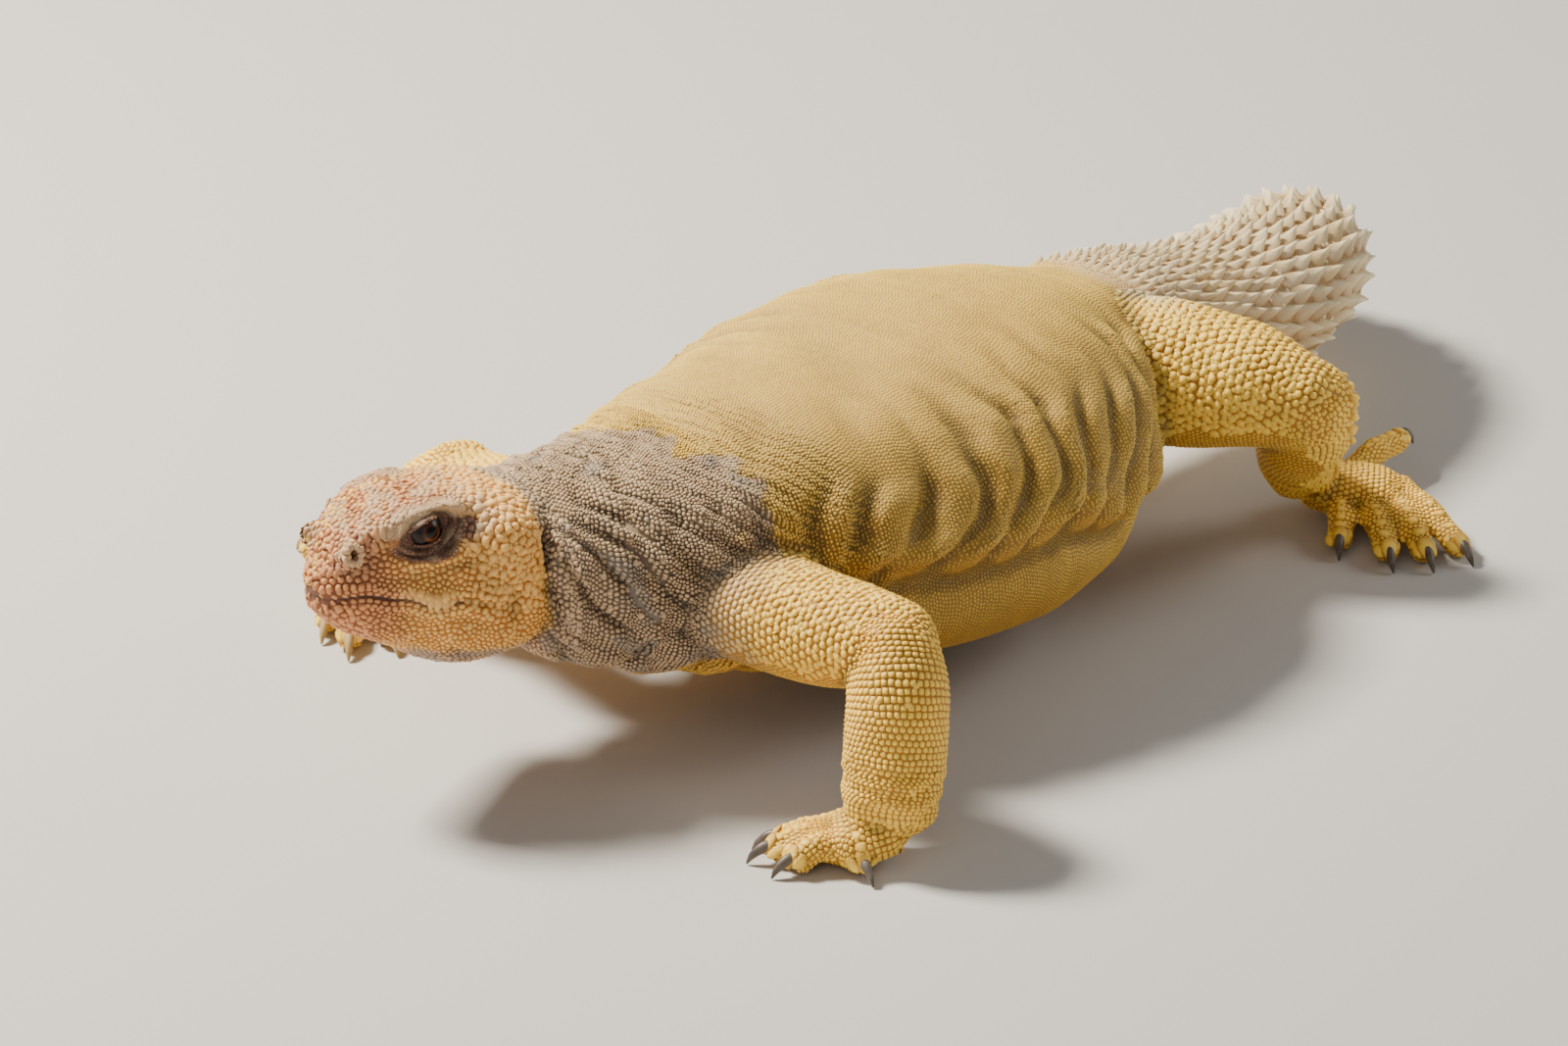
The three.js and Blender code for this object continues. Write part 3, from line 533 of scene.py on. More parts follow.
# %% The shells of the body and the tail
FACES = {"upper": (50, 60), "lower": (50, 54), "pad": (16, 36)}  # along and round a tube of a leg
DIGIT_FACES = (18, 24)
body = bmesh.new()
NECK_SPLIT, NECK_LAP = spine_t(13.0), spine_t(20.0)
into(body, rolled(trunk, 300, 170, first=NECK_SPLIT, last=10.6 / SPANS))
into(body, rolled(tail_core, 30, 64, first=9.9 / SPANS, last=11.6 / SPANS))
tail = rolled(tail_core, 150, 64, first=11.2 / SPANS, last=2.0)
for name, parts in legs.items():
    for part, form in parts.items():
        into(body, rolled(form, *FACES.get(part, DIGIT_FACES)))
print(len(body.verts), "points before the body is fused")
body_mesh = fused("body_shell", body, voxel=1.74, passes=2)
tail_mesh = fused("tail_shell", tail, voxel=2.2, passes=3)
print(len(body_mesh.vertices), "points in the body's shell,", len(tail_mesh.vertices), "in the tail's")

# %% The shell of the head and neck
SOFT_FORMS = [  # back, out and height of the middle; half sizes; tilt and toe-in in degrees
    ((24.5, 11.6, 73.4), (7, 9.8, 6.0), 8, 0),  # the bulge of the eye
    ((26.5, 14.5, 77.7), (3.5, 9.6, 2.2), 2, -10),  # the brow over it
    ((18.5, 12.3, 76.0), (2.6, 7.0, 2.0), 16, -14),  # the brow's front end
    ((27, 15, 66.2), (3.4, 8, 1.7), 4, 0),  # the fold under the eye
    ((NOSTRIL["back"] + 0.4, NOSTRIL["out"] - 1.5, NOSTRIL["z"]), (1.8, 2.9, 2.9), 0, 0),
]
head = bmesh.new()
into(head, rolled(skull, 110, 150, cap_rows=10))
into(head, rolled(trunk, 60, 190, first=0.2 / SPANS, last=NECK_LAP))
for side in (1, -1):
    for (back, out, z), half, tilt, toe_in in SOFT_FORMS:
        egg(head, head_point(back, side * out, z), half, tilt, toe_in * side)
head_mesh = fused("head_shell", head, voxel=0.8, passes=3)
print(len(head_mesh.vertices), "points in the head's shell")

# %% [markdown]
# ## Openings of the head
# Eyes, nostrils and ears are openings. Each one is pressed into the shell as if with a thumb: points
# that lie inside the outline of an opening move inward to the floor of it.

# %% Press an opening into a shell
def coords(mesh):
    """Points of a mesh, in the millimetres that the solids were drawn in."""
    out = np.empty(len(mesh.vertices) * 3, np.float32)
    mesh.vertices.foreach_get("co", out)
    return out.reshape(-1, 3).astype(float) / MM - SHIFT


def eye_frame(side):
    """Outward, backward and upward axes of one eye."""
    tilt = math.radians(EYE["tilt"])
    outward = unit(left_axis * side + up_axis * 0.05)
    backward = back_axis * math.cos(tilt) + up_axis * math.sin(tilt)
    return outward, backward, unit(np.cross(backward, outward)) * -side


def press(points, centre, axes, half, depth, lip=0.3):
    """Moves points in an oval outline inward along the first axis, to a bowl of the given depth."""
    local = (points - centre) @ np.array(axes).T
    reach = (local[:, 1] / half[0]) ** 2 + (local[:, 2] / half[1]) ** 2
    inside = (reach < 1) & (local[:, 0] > -depth * 2)
    floor = -depth * np.sqrt(np.clip(1 - reach, 0, 1)) ** lip
    moved = np.minimum(local[:, 0], floor)
    points[inside] += (moved - local[:, 0])[inside, None] * axes[0]


def swell(points, centre, axes, radii, height, spread):
    """Raises an oval ring of points outward along the first axis."""
    local = (points - centre) @ np.array(axes).T
    ring = np.hypot(local[:, 1] / radii[0], local[:, 2] / radii[1])
    near = np.abs(local[:, 0]) < 5  # not the far side of the head
    points[near] += (height * bell(ring, 1, spread))[near, None] * axes[0]


def mesh_faces(mesh):
    """Corner indices of a mesh's triangles."""
    mesh.calc_loop_triangles()
    corners = np.empty(len(mesh.loop_triangles) * 3, np.int32)
    mesh.loop_triangles.foreach_get("vertices", corners)
    return corners.reshape(-1, 3)


# %% Press in the ears and nostrils
shell = coords(head_mesh)
shell_faces = mesh_faces(head_mesh).tolist()
bare_head = BVHTree.FromPolygons(shell.tolist(), shell_faces, all_triangles=True)
for side in (1, -1):
    ear_out = unit(left_axis * side - back_axis * 0.25)
    ear_axes = (ear_out, unit(back_axis + 0.25 * side * left_axis), up_axis)
    press(shell, head_point(54, side * 22.6, 63), ear_axes, (1.7, 5.6), 3.6)
    nose_out = unit(left_axis * side - back_axis * 0.2 + up_axis * 0.15)
    nose_axes = (nose_out, unit(back_axis + 0.2 * side * left_axis), up_axis)
    nose = head_point(NOSTRIL["back"], side * (NOSTRIL["out"] + 0.6), NOSTRIL["z"])
    swell(shell, nose, nose_axes, (2.0, 2.5), 0.9, 0.4)
    press(shell, nose, nose_axes, (0.95, 1.7), 3.4)
print("ears and nostrils pressed into", len(shell), "points")

# %% [markdown]
# ## Eyelids
# The lids are thick, wrinkled rolls round an almond opening. A voxel shell is too coarse for them, so
# each eye gets a ring of its own: a grid rolled round the almond, whose section starts on the hide,
# makes two rolls, turns in at the rim until it touches the eyeball, and comes back underneath. The
# hide below the ring is pressed down out of its way.

# %% The opening and the height of the lids
LID_REACH = 4.3  # mm from the edge of the opening to the outer edge of the lids
RAY_START = 14  # mm outside the eye's centre, from where the hide is looked for


def almond(angle, off):
    """A point off mm outside the edge of the opening, in the eye's plane."""
    c, s = np.cos(angle), np.sin(angle)
    edge = np.stack([EYE["long"] * c, EYE["high"] * s * (0.82 + 0.18 * np.abs(s))], -1)
    way = unit(np.stack([c * 0.75, s], -1))
    return edge + way * off[..., None]


def lid_height(side, flat, off, angle):
    """Height of the lids over the eye's centre: on the eyeball at the rim, on the hide outside."""
    outward, backward, upward = eye_frame(side)
    centre = head_point(EYE["back"], side * EYE["out"], EYE["z"])
    ball = np.sqrt(np.clip((EYE["radius"] + 0.35) ** 2 - (flat**2).sum(-1), 4, None))
    hide_height = np.empty(len(flat))
    for i, (x, y) in enumerate(flat):
        start = centre + outward * RAY_START + backward * x + upward * y
        hit = bare_head.ray_cast(Vector(start), Vector(-outward))
        hide_height[i] = RAY_START - hit[3] if hit[0] else 0
    share = smooth(off, 0.6, 3.9)
    lower = smooth(-np.sin(angle), -0.3, 0.5)
    rolls = 0.45 * bell(off, 0.45, 0.4) - 0.4 * bell(off, 1.1, 0.28)
    rolls = rolls + (0.3 + 0.75 * lower) * bell(off, 1.95, 0.55)
    rolls = rolls - 0.5 * lower * bell(off, 2.85, 0.3) + 0.4 * lower * bell(off, 3.5, 0.4)
    return mix(ball, hide_height - 0.1 - 0.4 * smooth(off, 3.8, 4.3), share) + rolls


# %% Make one ring of lids
LID_TOP = [4.3, 3.9, 3.5, 3.2, 2.9, 2.6, 2.3, 2.0, 1.7, 1.4, 1.15, 0.9, 0.7, 0.5, 0.3, 0.12, 0.0]
LID_UNDER = [-0.12, -0.1, 0.3, 1.2, 2.6, 4.3]  # both as mm outside the edge of the opening
UNDER_SINK = [0.25, 0.5, 0.8, 1.2, 1.6, 0.9]  # how far the underside lies below the top


def lid_ring(side):
    offs = np.array(LID_TOP + LID_UNDER)
    sink = np.array([0.0] * len(LID_TOP) + UNDER_SINK)
    bm = bmesh.new()
    bmesh.ops.create_grid(bm, x_segments=96, y_segments=len(offs), size=1)
    flat = np.array([v.co[:2] for v in bm.verts])
    around = (flat[:, 0] + 1) * np.pi
    row = np.rint((flat[:, 1] + 1) / 2 * len(offs)).astype(int) % len(offs)
    plane = almond(around, offs[row])
    height = lid_height(side, plane, np.maximum(offs[row], 0), around) - sink[row]
    outward, backward, upward = eye_frame(side)
    centre = head_point(EYE["back"], side * EYE["out"], EYE["z"])
    points = centre + outward * height[:, None] + backward * plane[:, :1] + upward * plane[:, 1:]
    for vert, point in zip(bm.verts, (points + SHIFT) * MM):
        vert.co = point
    bmesh.ops.remove_doubles(bm, verts=bm.verts, dist=1e-6)
    bmesh.ops.recalc_face_normals(bm, faces=bm.faces)
    return bm


def in_eye_frame(points, side):
    """Points as distances outward, backward and upward from an eye's centre."""
    return (points - head_point(EYE["back"], side * EYE["out"], EYE["z"])) @ np.array(eye_frame(side)).T


# %% Lower the hide below the lids
SOCKET_FLOOR = 2.2  # mm outside the eye's centre
lids = {side: lid_ring(side) for side in (1, -1)}
for side in (1, -1):
    outward = eye_frame(side)[0]
    local = in_eye_frame(shell, side)
    angle = np.arctan2(local[:, 2] / EYE["high"], local[:, 1] / EYE["long"])
    edge = almond(angle, np.full(len(angle), LID_REACH - 0.55))
    reach = np.hypot(local[:, 1], local[:, 2]) / np.linalg.norm(edge, axis=1)
    near_eye = (reach < 1) & (local[:, 0] > 1)
    lowered = mix(SOCKET_FLOOR, local[:, 0] - 1.2, smooth(reach, 0.75, 1))
    drop = np.clip(local[:, 0] - lowered, 0, None)
    shell[near_eye] -= (drop[:, None] * outward)[near_eye]
head_mesh.vertices.foreach_set("co", ((shell + SHIFT) * MM).astype(np.float32).ravel())
print("lid rings of", len(lids[1].faces), "faces")

# %% One hide from all shells, flat where it meets the floor
hide = bmesh.new()
for mesh in (body_mesh, tail_mesh, head_mesh):
    hide.from_mesh(mesh)
    bpy.data.meshes.remove(mesh)
for ring in lids.values():
    into(hide, ring)
bmesh.ops.triangulate(hide, faces=hide.faces)
for vert in hide.verts:
    vert.co.z = max(vert.co.z, 0.0)
skin = piece("skin", hide)
print("skin:", len(skin.data.polygons), "triangles")

# %% Ask the hide for its nearest point
skin_points = coords(skin.data)
skin_faces = np.empty(len(skin.data.polygons) * 3, np.int32)
skin.data.polygons.foreach_get("vertices", skin_faces)
skin_faces = skin_faces.reshape(-1, 3)
face_normals = np.cross(
    skin_points[skin_faces[:, 1]] - skin_points[skin_faces[:, 0]],
    skin_points[skin_faces[:, 2]] - skin_points[skin_faces[:, 0]],
)
vertex_normals = np.zeros_like(skin_points)
for corner in range(3):
    np.add.at(vertex_normals, skin_faces[:, corner], face_normals)
vertex_normals = unit(vertex_normals)
finder = BVHTree.FromPolygons(skin_points.tolist(), skin_faces.tolist(), all_triangles=True)


def settle(points):
    """Nearest point of the hide, its outward direction, how far it was, and how hollow the hide is there,
    which sets painted shade in creases and painted light on crests.
    """
    found = [finder.find_nearest(p) for p in points.tolist()]
    corners = skin_faces[np.array([f[2] for f in found])]
    place = np.array([f[0] for f in found])
    far = np.array([f[3] for f in found])
    return place, unit(vertex_normals[corners].mean(1)), far, hollow_shades[corners].mean(1)


# %% [markdown]
# ## Where the hide is hollow
# Creases of the hide get painted shade, and the tops of folds get painted light. If the hide is smoothed a
# little, its creases move out and its crests move in, so the distance moved tells one from the other.

# %% Measure hollows and crests
edges = np.concatenate([skin_faces[:, [0, 1]], skin_faces[:, [1, 2]], skin_faces[:, [2, 0]]])
relaxed = skin_points.copy()
links = np.bincount(edges[:, 0], minlength=len(relaxed))
for _ in range(14):  # rounds of smoothing
    total = [np.bincount(edges[:, 0], relaxed[edges[:, 1], k], len(relaxed)) for k in range(3)]
    relaxed = np.stack(total, -1) / np.maximum(links, 1)[:, None]
DEEP = 0.45  # mm moved in a full hollow
# painted shade and light: 1 in a full crease, which darkens the colour, and -1 on a crest, which lightens it
hollow_shades = np.clip(np.einsum("ij,ij->i", relaxed - skin_points, vertex_normals) / DEEP, -1, 1)
shares = [round(100 * float(part.mean())) for part in (hollow_shades > 0.5, hollow_shades < -0.5)]
print("hollows are", shares[0], "% of the hide and crests", shares[1], "%")

# %% [markdown]
# ## Sowing scales
# A lizard's scales stand in rows round the body, each row shifted by half a scale like bricks. A tube
# is walked row by row, each row gets as many scales as fit round it, and every place then settles on
# the nearest point of the hide, so that scales ride over folds and across the joints of the legs.
# The place also gives each scale its own small patch of the OFBake map: how far it is along and round
# its tube, in that tube's own tile of the map.


# %% Rows of places over a tube
def lap_lengths(ring):
    """Length along a line of points, up to each of them."""
    return np.concatenate([[0], np.cumsum(np.linalg.norm(np.diff(ring, axis=0), axis=1))])


def sow(form, size, first, last, pitch=0.86, wobble=0.08, seed=1, tile=(0, 0, 1, 1), near=1.6):
    """Seeds in rows from first to last along a tube. size is a number or a function of t."""
    draw = np.random.default_rng(seed)
    size_at = size if callable(size) else (lambda t: np.full(np.shape(t), float(size)))
    t = np.linspace(first, last, 600)
    lines = [form(t, np.full_like(t, a)) for a in np.radians([20, 100, 200, 290])]
    steps = np.mean([np.linalg.norm(np.diff(line, axis=0), axis=1) for line in lines], axis=0)
    count = np.concatenate([[0], np.cumsum(steps / (pitch * size_at(t[1:])))])
    rows = np.interp(np.arange(0.5, count[-1]), count, t)
    around = np.linspace(0, 2 * np.pi, 181)
    ts, angles, widths = [], [], []
    for i, row in enumerate(rows):
        ring = form(np.full_like(around, row), around)
        lap = lap_lengths(ring)
        n = max(int(round(lap[-1] / float(size_at(row)))), 3)
        at = (np.arange(n) + 0.5 * (i % 2) + draw.normal(0, wobble, n)) / n * lap[-1]
        angles.append(np.interp(at % lap[-1], lap, around))
        ts.append(np.full(n, row))
        widths.append(np.full(n, lap[-1] / n))
    t, a, width = (np.concatenate(v) for v in (ts, angles, widths))
    t = t + draw.normal(0, wobble, len(t)) * (last - first) / max(len(rows), 1)
    return settled(form, t, a, width, width * pitch, tile, (first, last), near)


# %% From places on a tube to seeds on the hide
def settled(form, t, a, width, length, tile=(0, 0, 1, 1), span=(0, 1), near=1.6):
    """Seeds for scales at t and a of a tube, laid on the hide. Those buried in another form go."""
    step = 2e-3 * (span[1] - span[0])
    drawn = form(t, a)
    along = form(t + step, a) - form(t - step, a)
    about = form(t, a + 0.02) - form(t, a - 0.02)
    facing = unit(np.cross(about, along))
    inward = np.einsum("ij,ij->i", facing, drawn - form.centre(np.clip(t, 0, 1))) < 0
    facing[inward] *= -1
    place, out, far, hollow = settle(drawn)
    keep = (far < near) & (np.einsum("ij,ij->i", facing, out) > 0.25)
    back = unit(along - out * np.einsum("ij,ij->i", along, out)[:, None])
    u = tile[0] + tile[2] * (0.04 + 0.92 * np.clip((t - span[0]) / (span[1] - span[0]), 0, 1))
    v = tile[1] + tile[3] * (0.04 + 0.92 * (a / (2 * np.pi)) % 1)
    seeds = {"place": place, "out": out, "back": back, "width": width, "length": length}
    seeds |= {"u": u, "v": v, "t": t, "a": a, "hollow": hollow}
    return pick(seeds, keep)


def pick(seeds, keep):
    """The chosen seeds only."""
    return {k: v[keep] for k, v in seeds.items()}


def pooled(*groups):
    """One group of seeds from several."""
    groups = [g for g in groups if len(g["u"])]
    return {k: np.concatenate([g[k] for g in groups]) for k in groups[0] if all(k in g for g in groups)}


# %% [markdown]
# ## Where each colour of the hide lies
# The animal is mustard yellow, with a grey, dusty cape over the neck, a brown-pink snout, an ivory tail
# and a paler belly. These marks are worked out once from a place on the body, and go to the hide and
# to every scale alike as attributes. The legs have their own pale-topped scales.

# %% How far a place is from the opening of the nearer eye
def eye_distance(spots):
    """Distance in the eye's plane from the edge of the opening."""
    nearest = np.full(len(spots), 99.0)
    for side in (1, -1):
        local = in_eye_frame(spots, side)
        angle = np.arctan2(local[:, 2] / EYE["high"], local[:, 1] / EYE["long"])
        rim = np.linalg.norm(almond(angle, 0 * angle), axis=1)
        flat = np.hypot(local[:, 1], local[:, 2]) - rim
        nearest = np.where(local[:, 0] > 0, np.minimum(nearest, flat), nearest)
    return nearest


# %% Marks of a place
MARKS = ("limb", "belly", "cape", "face", "warm", "lid", "ivory", "dust", "mud", "blue")


def brow_line(back):
    """Height of the middle of the ridge over the eye."""
    return 77.7 - 3.4 * (1 - smooth(back, 12, 23))


def marks(place, out, limb):
    """How much of each mark lies on places of the animal, from 0 to 1."""
    local = place - SNOUT
    back, height = local @ back_axis, local @ up_axis + SNOUT[2]
    aside, over_mouth = np.abs(local @ left_axis), height - mouth_level(back)
    y, z, up, crownward = place[:, 1], place[:, 2], out[:, 2], out @ up_axis
    wander = 5 * rumple(place, 34, 31) + 2.5 * rumple(place, 11, 32)
    body = 1 - limb
    # face, cape, tail and belly
    throat = 1 - smooth(height + 0.3 * wander, 38.5, 42)
    face = body * (1 - smooth(back + 0.08 * (z - 60) + 0.2 * wander, 51.5, 54.5))
    face = face * (y < 14) * (1 - throat)
    cape_edge = y + wander + 22 * smooth(50 - z, 0, 26)
    cape = body * (1 - face) * (1 - smooth(cape_edge, 28, 31))
    ivory = body * smooth(y + 0.5 * wander, 190, 203)
    belly = body * (1 - face) * smooth(-up, 0.1, 0.65) * (1 - ivory)
    blue = rumple(place, 16, 39) + 0.5 * rumple(place, 6, 40)
    blue = cape * smooth(blue - 0.6 * up, 0.25, 1.0)
    # the warm snout, lips and crown
    crown = smooth(crownward, 0.35, 0.8) * (1 - smooth(back, 30, 44))
    snout = 1 - smooth(back + 0.6 * wander - 0.15 * (height - 60), 8, 23)
    lips = (1 - smooth(np.abs(over_mouth), 2.0, 5)) * (1 - smooth(back + 0.4 * wander, 12, 22))
    warm = face * np.clip(np.maximum(np.maximum(snout, lips), 0.85 * crown), 0, 1)
    warm = np.maximum(warm, 0.35 * throat * body * (1 - smooth(back, 50, 62)))
    # dark lids and the line of the mouth, and painted shade in the hollow behind the eye
    lower = smooth(-(height - EYE["z"] - 0.25 * (back - EYE["back"])), -0.5, 2.0)
    from_rim = eye_distance(place) + 0.3 * rumple(place, 4, 41)
    lid = face * (1 - smooth(from_rim, 1.7 + 2.0 * lower, 2.9 + 2.4 * lower))
    # painted shade: the hollow behind the eye takes the dark lid colour
    socket = 1 - smooth(np.hypot((back - 34.2) / 4.4, (height - 73) / 2.9), 0.6, 1.15)
    line = bell(over_mouth, 0, 0.45) * (1 - smooth(back, 30, 33))
    lid = np.maximum(lid, face * np.maximum(socket, line))
    # dust on what faces up, most of all on the cape
    patches = rumple(place, 36, 33) + 0.8 * rumple(place, 11, 34) + 0.6 * rumple(place, 4, 38)
    patches = smooth(patches, 0.1, 1.5)
    dust = 0.5 * patches * smooth(up, 0.05, 0.85) * (1 - 0.8 * limb) * (1 - 0.6 * face)
    dust = np.maximum(dust, 0.45 * body * (1 - face) * (1 - ivory) * smooth(up, 0.45, 0.95))
    dust = np.maximum(dust, 0.75 * cape * smooth(up + 0.35 * rumple(place, 14, 35), 0.25, 0.95))
    # caked mud on the crown and the brow, on the lip plates and round the nostril
    caked = smooth(rumple(place, 8, 36) + 0.5 * rumple(place, 3.6, 37), -0.35, 0.35)
    mud = face * smooth(crownward, 0.4, 0.8) * caked * smooth(back, 3, 9) * (1 - smooth(back, 38, 48))
    mud = mud * (1 - 0.8 * bell(aside, 10.6, 1.6) * smooth(back, 14, 18))
    brow = 1 - smooth(np.abs(height - brow_line(back)), 1.5, 2.8)
    brow = brow * smooth(back, 11, 15) * (1 - smooth(back, 35.5, 38))
    mud = np.maximum(mud, 0.95 * face * brow * smooth(aside, 9, 11.5))
    labials = bell(back, 23, 6) * (1 - smooth(back, 29, 31)) * bell(over_mouth, 0.4, 1.9)
    mud = np.maximum(mud, 0.42 * face * labials) * smooth(from_rim, 0.7, 1.6)
    nose = np.hypot(back - NOSTRIL["back"], (height - NOSTRIL["z"]) / 1.15) + 40 * (aside < 5)
    mud = np.maximum(mud, face * bell(nose, 2.1, 0.75))
    # a dark ring round the nostril, and painted shade inside its opening
    lid = np.maximum(lid, face * np.maximum(0.6 * bell(nose, 4.3, 1.1), bell(nose, 0, 1.0)))
    dust, mud = np.clip(dust, 0, 1), np.clip(mud, 0, 1)
    values = (limb + 0 * y, belly, cape, face, warm, lid, ivory, dust, mud, blue)
    return {name: value.astype(np.float32) for name, value in zip(MARKS, values)}


def set_marks(mesh, values):
    """Writes marks to a mesh as attributes of its points."""
    for name, value in values.items():
        layer = mesh.attributes.new(name, "FLOAT", "POINT")
        layer.data.foreach_set("value", np.ascontiguousarray(value, np.float32))


# %% [markdown]
# ## Shapes of one scale
# A scale is a low dome of a few faces. The smallest ones, on the trunk, are six-sided caps; larger ones
# get a second ring, a blunter or more pointed back end and a lift at the rear. A thorn of the tail is a
# closed body: square in front, keeled, and drawn out into a point that stands clear of the next ring.


# %% Model a scale
def shape_of(bm):
    """Points and triangles of a small bmesh, which is freed."""
    bmesh.ops.remove_doubles(bm, verts=bm.verts, dist=1e-4)
    bmesh.ops.triangulate(bm, faces=bm.faces)
    bm.verts.ensure_lookup_table()
    points = np.array([v.co[:] for v in bm.verts])
    faces = np.array([[v.index for v in f.verts] for f in bm.faces])
    bm.free()
    return points, faces


def cap():
    """A low cone of six faces."""
    bm = bmesh.new()
    bmesh.ops.create_cone(bm, cap_ends=False, segments=6, radius1=1, radius2=0, depth=1)
    points, faces = shape_of(bm)
    points[:, 2] += 0.5
    return points, faces


def dome(sides=8, rings=2, point=0.0, lift=0.0, square=1.0, bulge=0.8):
    """Half a ball, pointed or lifted at its back end, squarer in outline and flatter on top as asked."""
    bm = bmesh.new()
    bmesh.ops.create_uvsphere(bm, u_segments=sides, v_segments=rings * 2, radius=1)
    everything = list(bm.verts) + list(bm.edges) + list(bm.faces)
    bmesh.ops.bisect_plane(bm, geom=everything, dist=1e-4, plane_no=(0, 0, 1), clear_inner=True)
    points, faces = shape_of(bm)
    flat = points[:, :2]
    points[:, :2] = np.sign(flat) * np.abs(flat) ** square
    rear = np.clip(points[:, 1], 0, 1)
    points[:, 0] *= 1 - point * rear**1.4
    points[:, 1] *= 1 + 0.3 * point * (points[:, 1] > 0)
    points[:, 2] = points[:, 2] ** bulge * (1 + lift * points[:, 1])
    return points, faces


def thorn():
    """A closed body with a keel, drawn out into a point at its rear."""
    bm = bmesh.new()
    bmesh.ops.create_uvsphere(bm, u_segments=12, v_segments=8, radius=1)
    points, faces = shape_of(bm)
    x, y, z = points.T.copy()
    around = np.maximum(np.hypot(x, y), 1e-6)
    x, y = (np.sign(v) * (np.abs(v) / around) ** 0.72 * around for v in (x, y))
    rear = smooth(y, -0.1, 1)
    points[:, 0] = x * (1 - 0.86 * rear**1.3)
    points[:, 1] = y + 0.12 * rear
    keel = 0.42 * (1 - np.abs(x)) ** 1.6 * smooth(y, -0.9, 0.5)
    top = np.abs(z) ** 0.7 * (0.62 + 0.12 * y) + keel * (np.abs(z) > 0.2)
    points[:, 2] = np.where(z > 0, top, z * 0.25) + rear**1.5
    return points, faces


CAP, THORN = cap(), thorn()
LEAF, SHIELD = dome(8, 2, point=0.35, lift=0.25), dome(8, 2, bulge=0.42)
PEBBLE, HOOD = dome(9, 3), dome(12, 4, point=0.3, lift=0.3, square=0.9)
print("triangles of a cap and a thorn:", len(CAP[1]), len(THORN[1]))

# %% [markdown]
# ## Fitting each scale between its neighbours
# Real scales fill the hide: each one ends half way to the next. So the outline of a scale is found by
# looking at its nearest neighbours: in every direction, it may reach to the half way line.

# %% Outlines from neighbours
NEIGHBOURS = 9  # places looked at, the scale's own among them
WIDEST, ROUNDEST = 0.8, 1.16  # most reach, as a share of the scale's width and of its mean reach


def tree_of(spots):
    """A tree that finds the nearest of a list of places."""
    tree = KDTree(len(spots))
    for i, spot in enumerate(spots):
        tree.insert(spot, i)
    tree.balance()
    return tree


def outlines(seeds, across, back, angles):
    """How far each scale may reach at each angle, half way to its neighbours at most."""
    spots = seeds["place"].tolist()
    tree = tree_of(spots)
    near = np.array([[f[1] for f in tree.find_n(spot, NEIGHBOURS)][1:] for spot in spots])
    apart = seeds["place"][near] - seeds["place"][:, None]
    gap = np.linalg.norm(apart, axis=-1)
    flat = np.stack([np.einsum("ijk,ik->ij", apart, across), np.einsum("ijk,ik->ij", apart, back)], -1)
    span = np.maximum(np.linalg.norm(flat, axis=-1), 1e-6)
    share = seeds["width"][:, None] / (seeds["width"][:, None] + seeds["width"][near])
    reach = np.tile(WIDEST * seeds["width"][:, None], (1, len(angles)))
    for k, angle in enumerate(angles):
        facing = (flat[..., 0] * math.cos(angle) + flat[..., 1] * math.sin(angle)) / span
        limit = np.where(facing > 0.2, gap * share / np.maximum(facing, 0.2), 99)
        reach[:, k] = np.minimum(reach[:, k], limit.min(1))
    return np.minimum(reach, ROUNDEST * reach.mean(1, keepdims=True))


# %% Size each scale to its place
def fitted(points, seeds, fit, scale, tall):
    """Points of every scale, sized by fit: its share of the place's width and length."""
    limits = (seeds["width"] * fit[0] * scale[:, 0], seeds["length"] * fit[1] * scale[:, 1], tall)
    return np.stack([points[None, :, k] * limits[k][:, None] for k in range(3)], -1)


def reaching(points, seeds, across, back, tall, fill, lift):
    """Points of every scale, spread to fill its outline between its neighbours."""
    turns = np.round(np.arctan2(points[:, 1], points[:, 0]), 3)
    angles, which = np.unique(turns, return_inverse=True)
    reach = outlines(seeds, across, back, angles)[:, which] * fill
    from_middle = np.hypot(points[:, 0], points[:, 1])
    flat = unit(points[:, :2] + 1e-9) * from_middle[:, None]
    raised = points[None, :, 2:] * tall[:, None, None]
    local = np.concatenate([flat[None] * reach[..., None], raised], -1)
    local[..., 2] += lift * tall[:, None] * points[None, :, 1] * smooth(points[None, :, 2], 0, 0.3)
    return local


# %% Join scales into one mesh
PATCH = 0.003  # size of a scale on the OFBake map
covered = []  # places that carry a scale already


def copies(name, world, faces):
    """A mesh of many copies of the same few triangles, and the corners of them all."""
    count, per = world.shape[:2]
    corners = (faces[None] + (np.arange(count) * per)[:, None, None]).reshape(-1)
    mesh = bpy.data.meshes.new(name)
    mesh.vertices.add(count * per)
    mesh.vertices.foreach_set("co", world.astype(np.float32).ravel())
    mesh.loops.add(len(corners))
    mesh.loops.foreach_set("vertex_index", corners.astype(np.int32))
    mesh.polygons.add(len(corners) // 3)
    mesh.polygons.foreach_set("loop_start", np.arange(0, len(corners), 3, dtype=np.int32))
    mesh.update(calc_edges=True)
    mesh.shade_smooth()
    return mesh, corners


def bake_map(mesh, seeds, points, corners):
    """Gives every scale a small patch of the OFBake map, at its seed's place on it."""
    root = np.stack([seeds["u"], seeds["v"]], -1)[:, None]
    patch = points[:, :2] / np.abs(points[:, :2]).max() * PATCH / 2
    chart = (root + patch[None]).reshape(-1, 2)
    layer = mesh.uv_layers.new(name="OFBake")
    layer.data.foreach_set("uv", chart[corners].astype(np.float32).ravel())


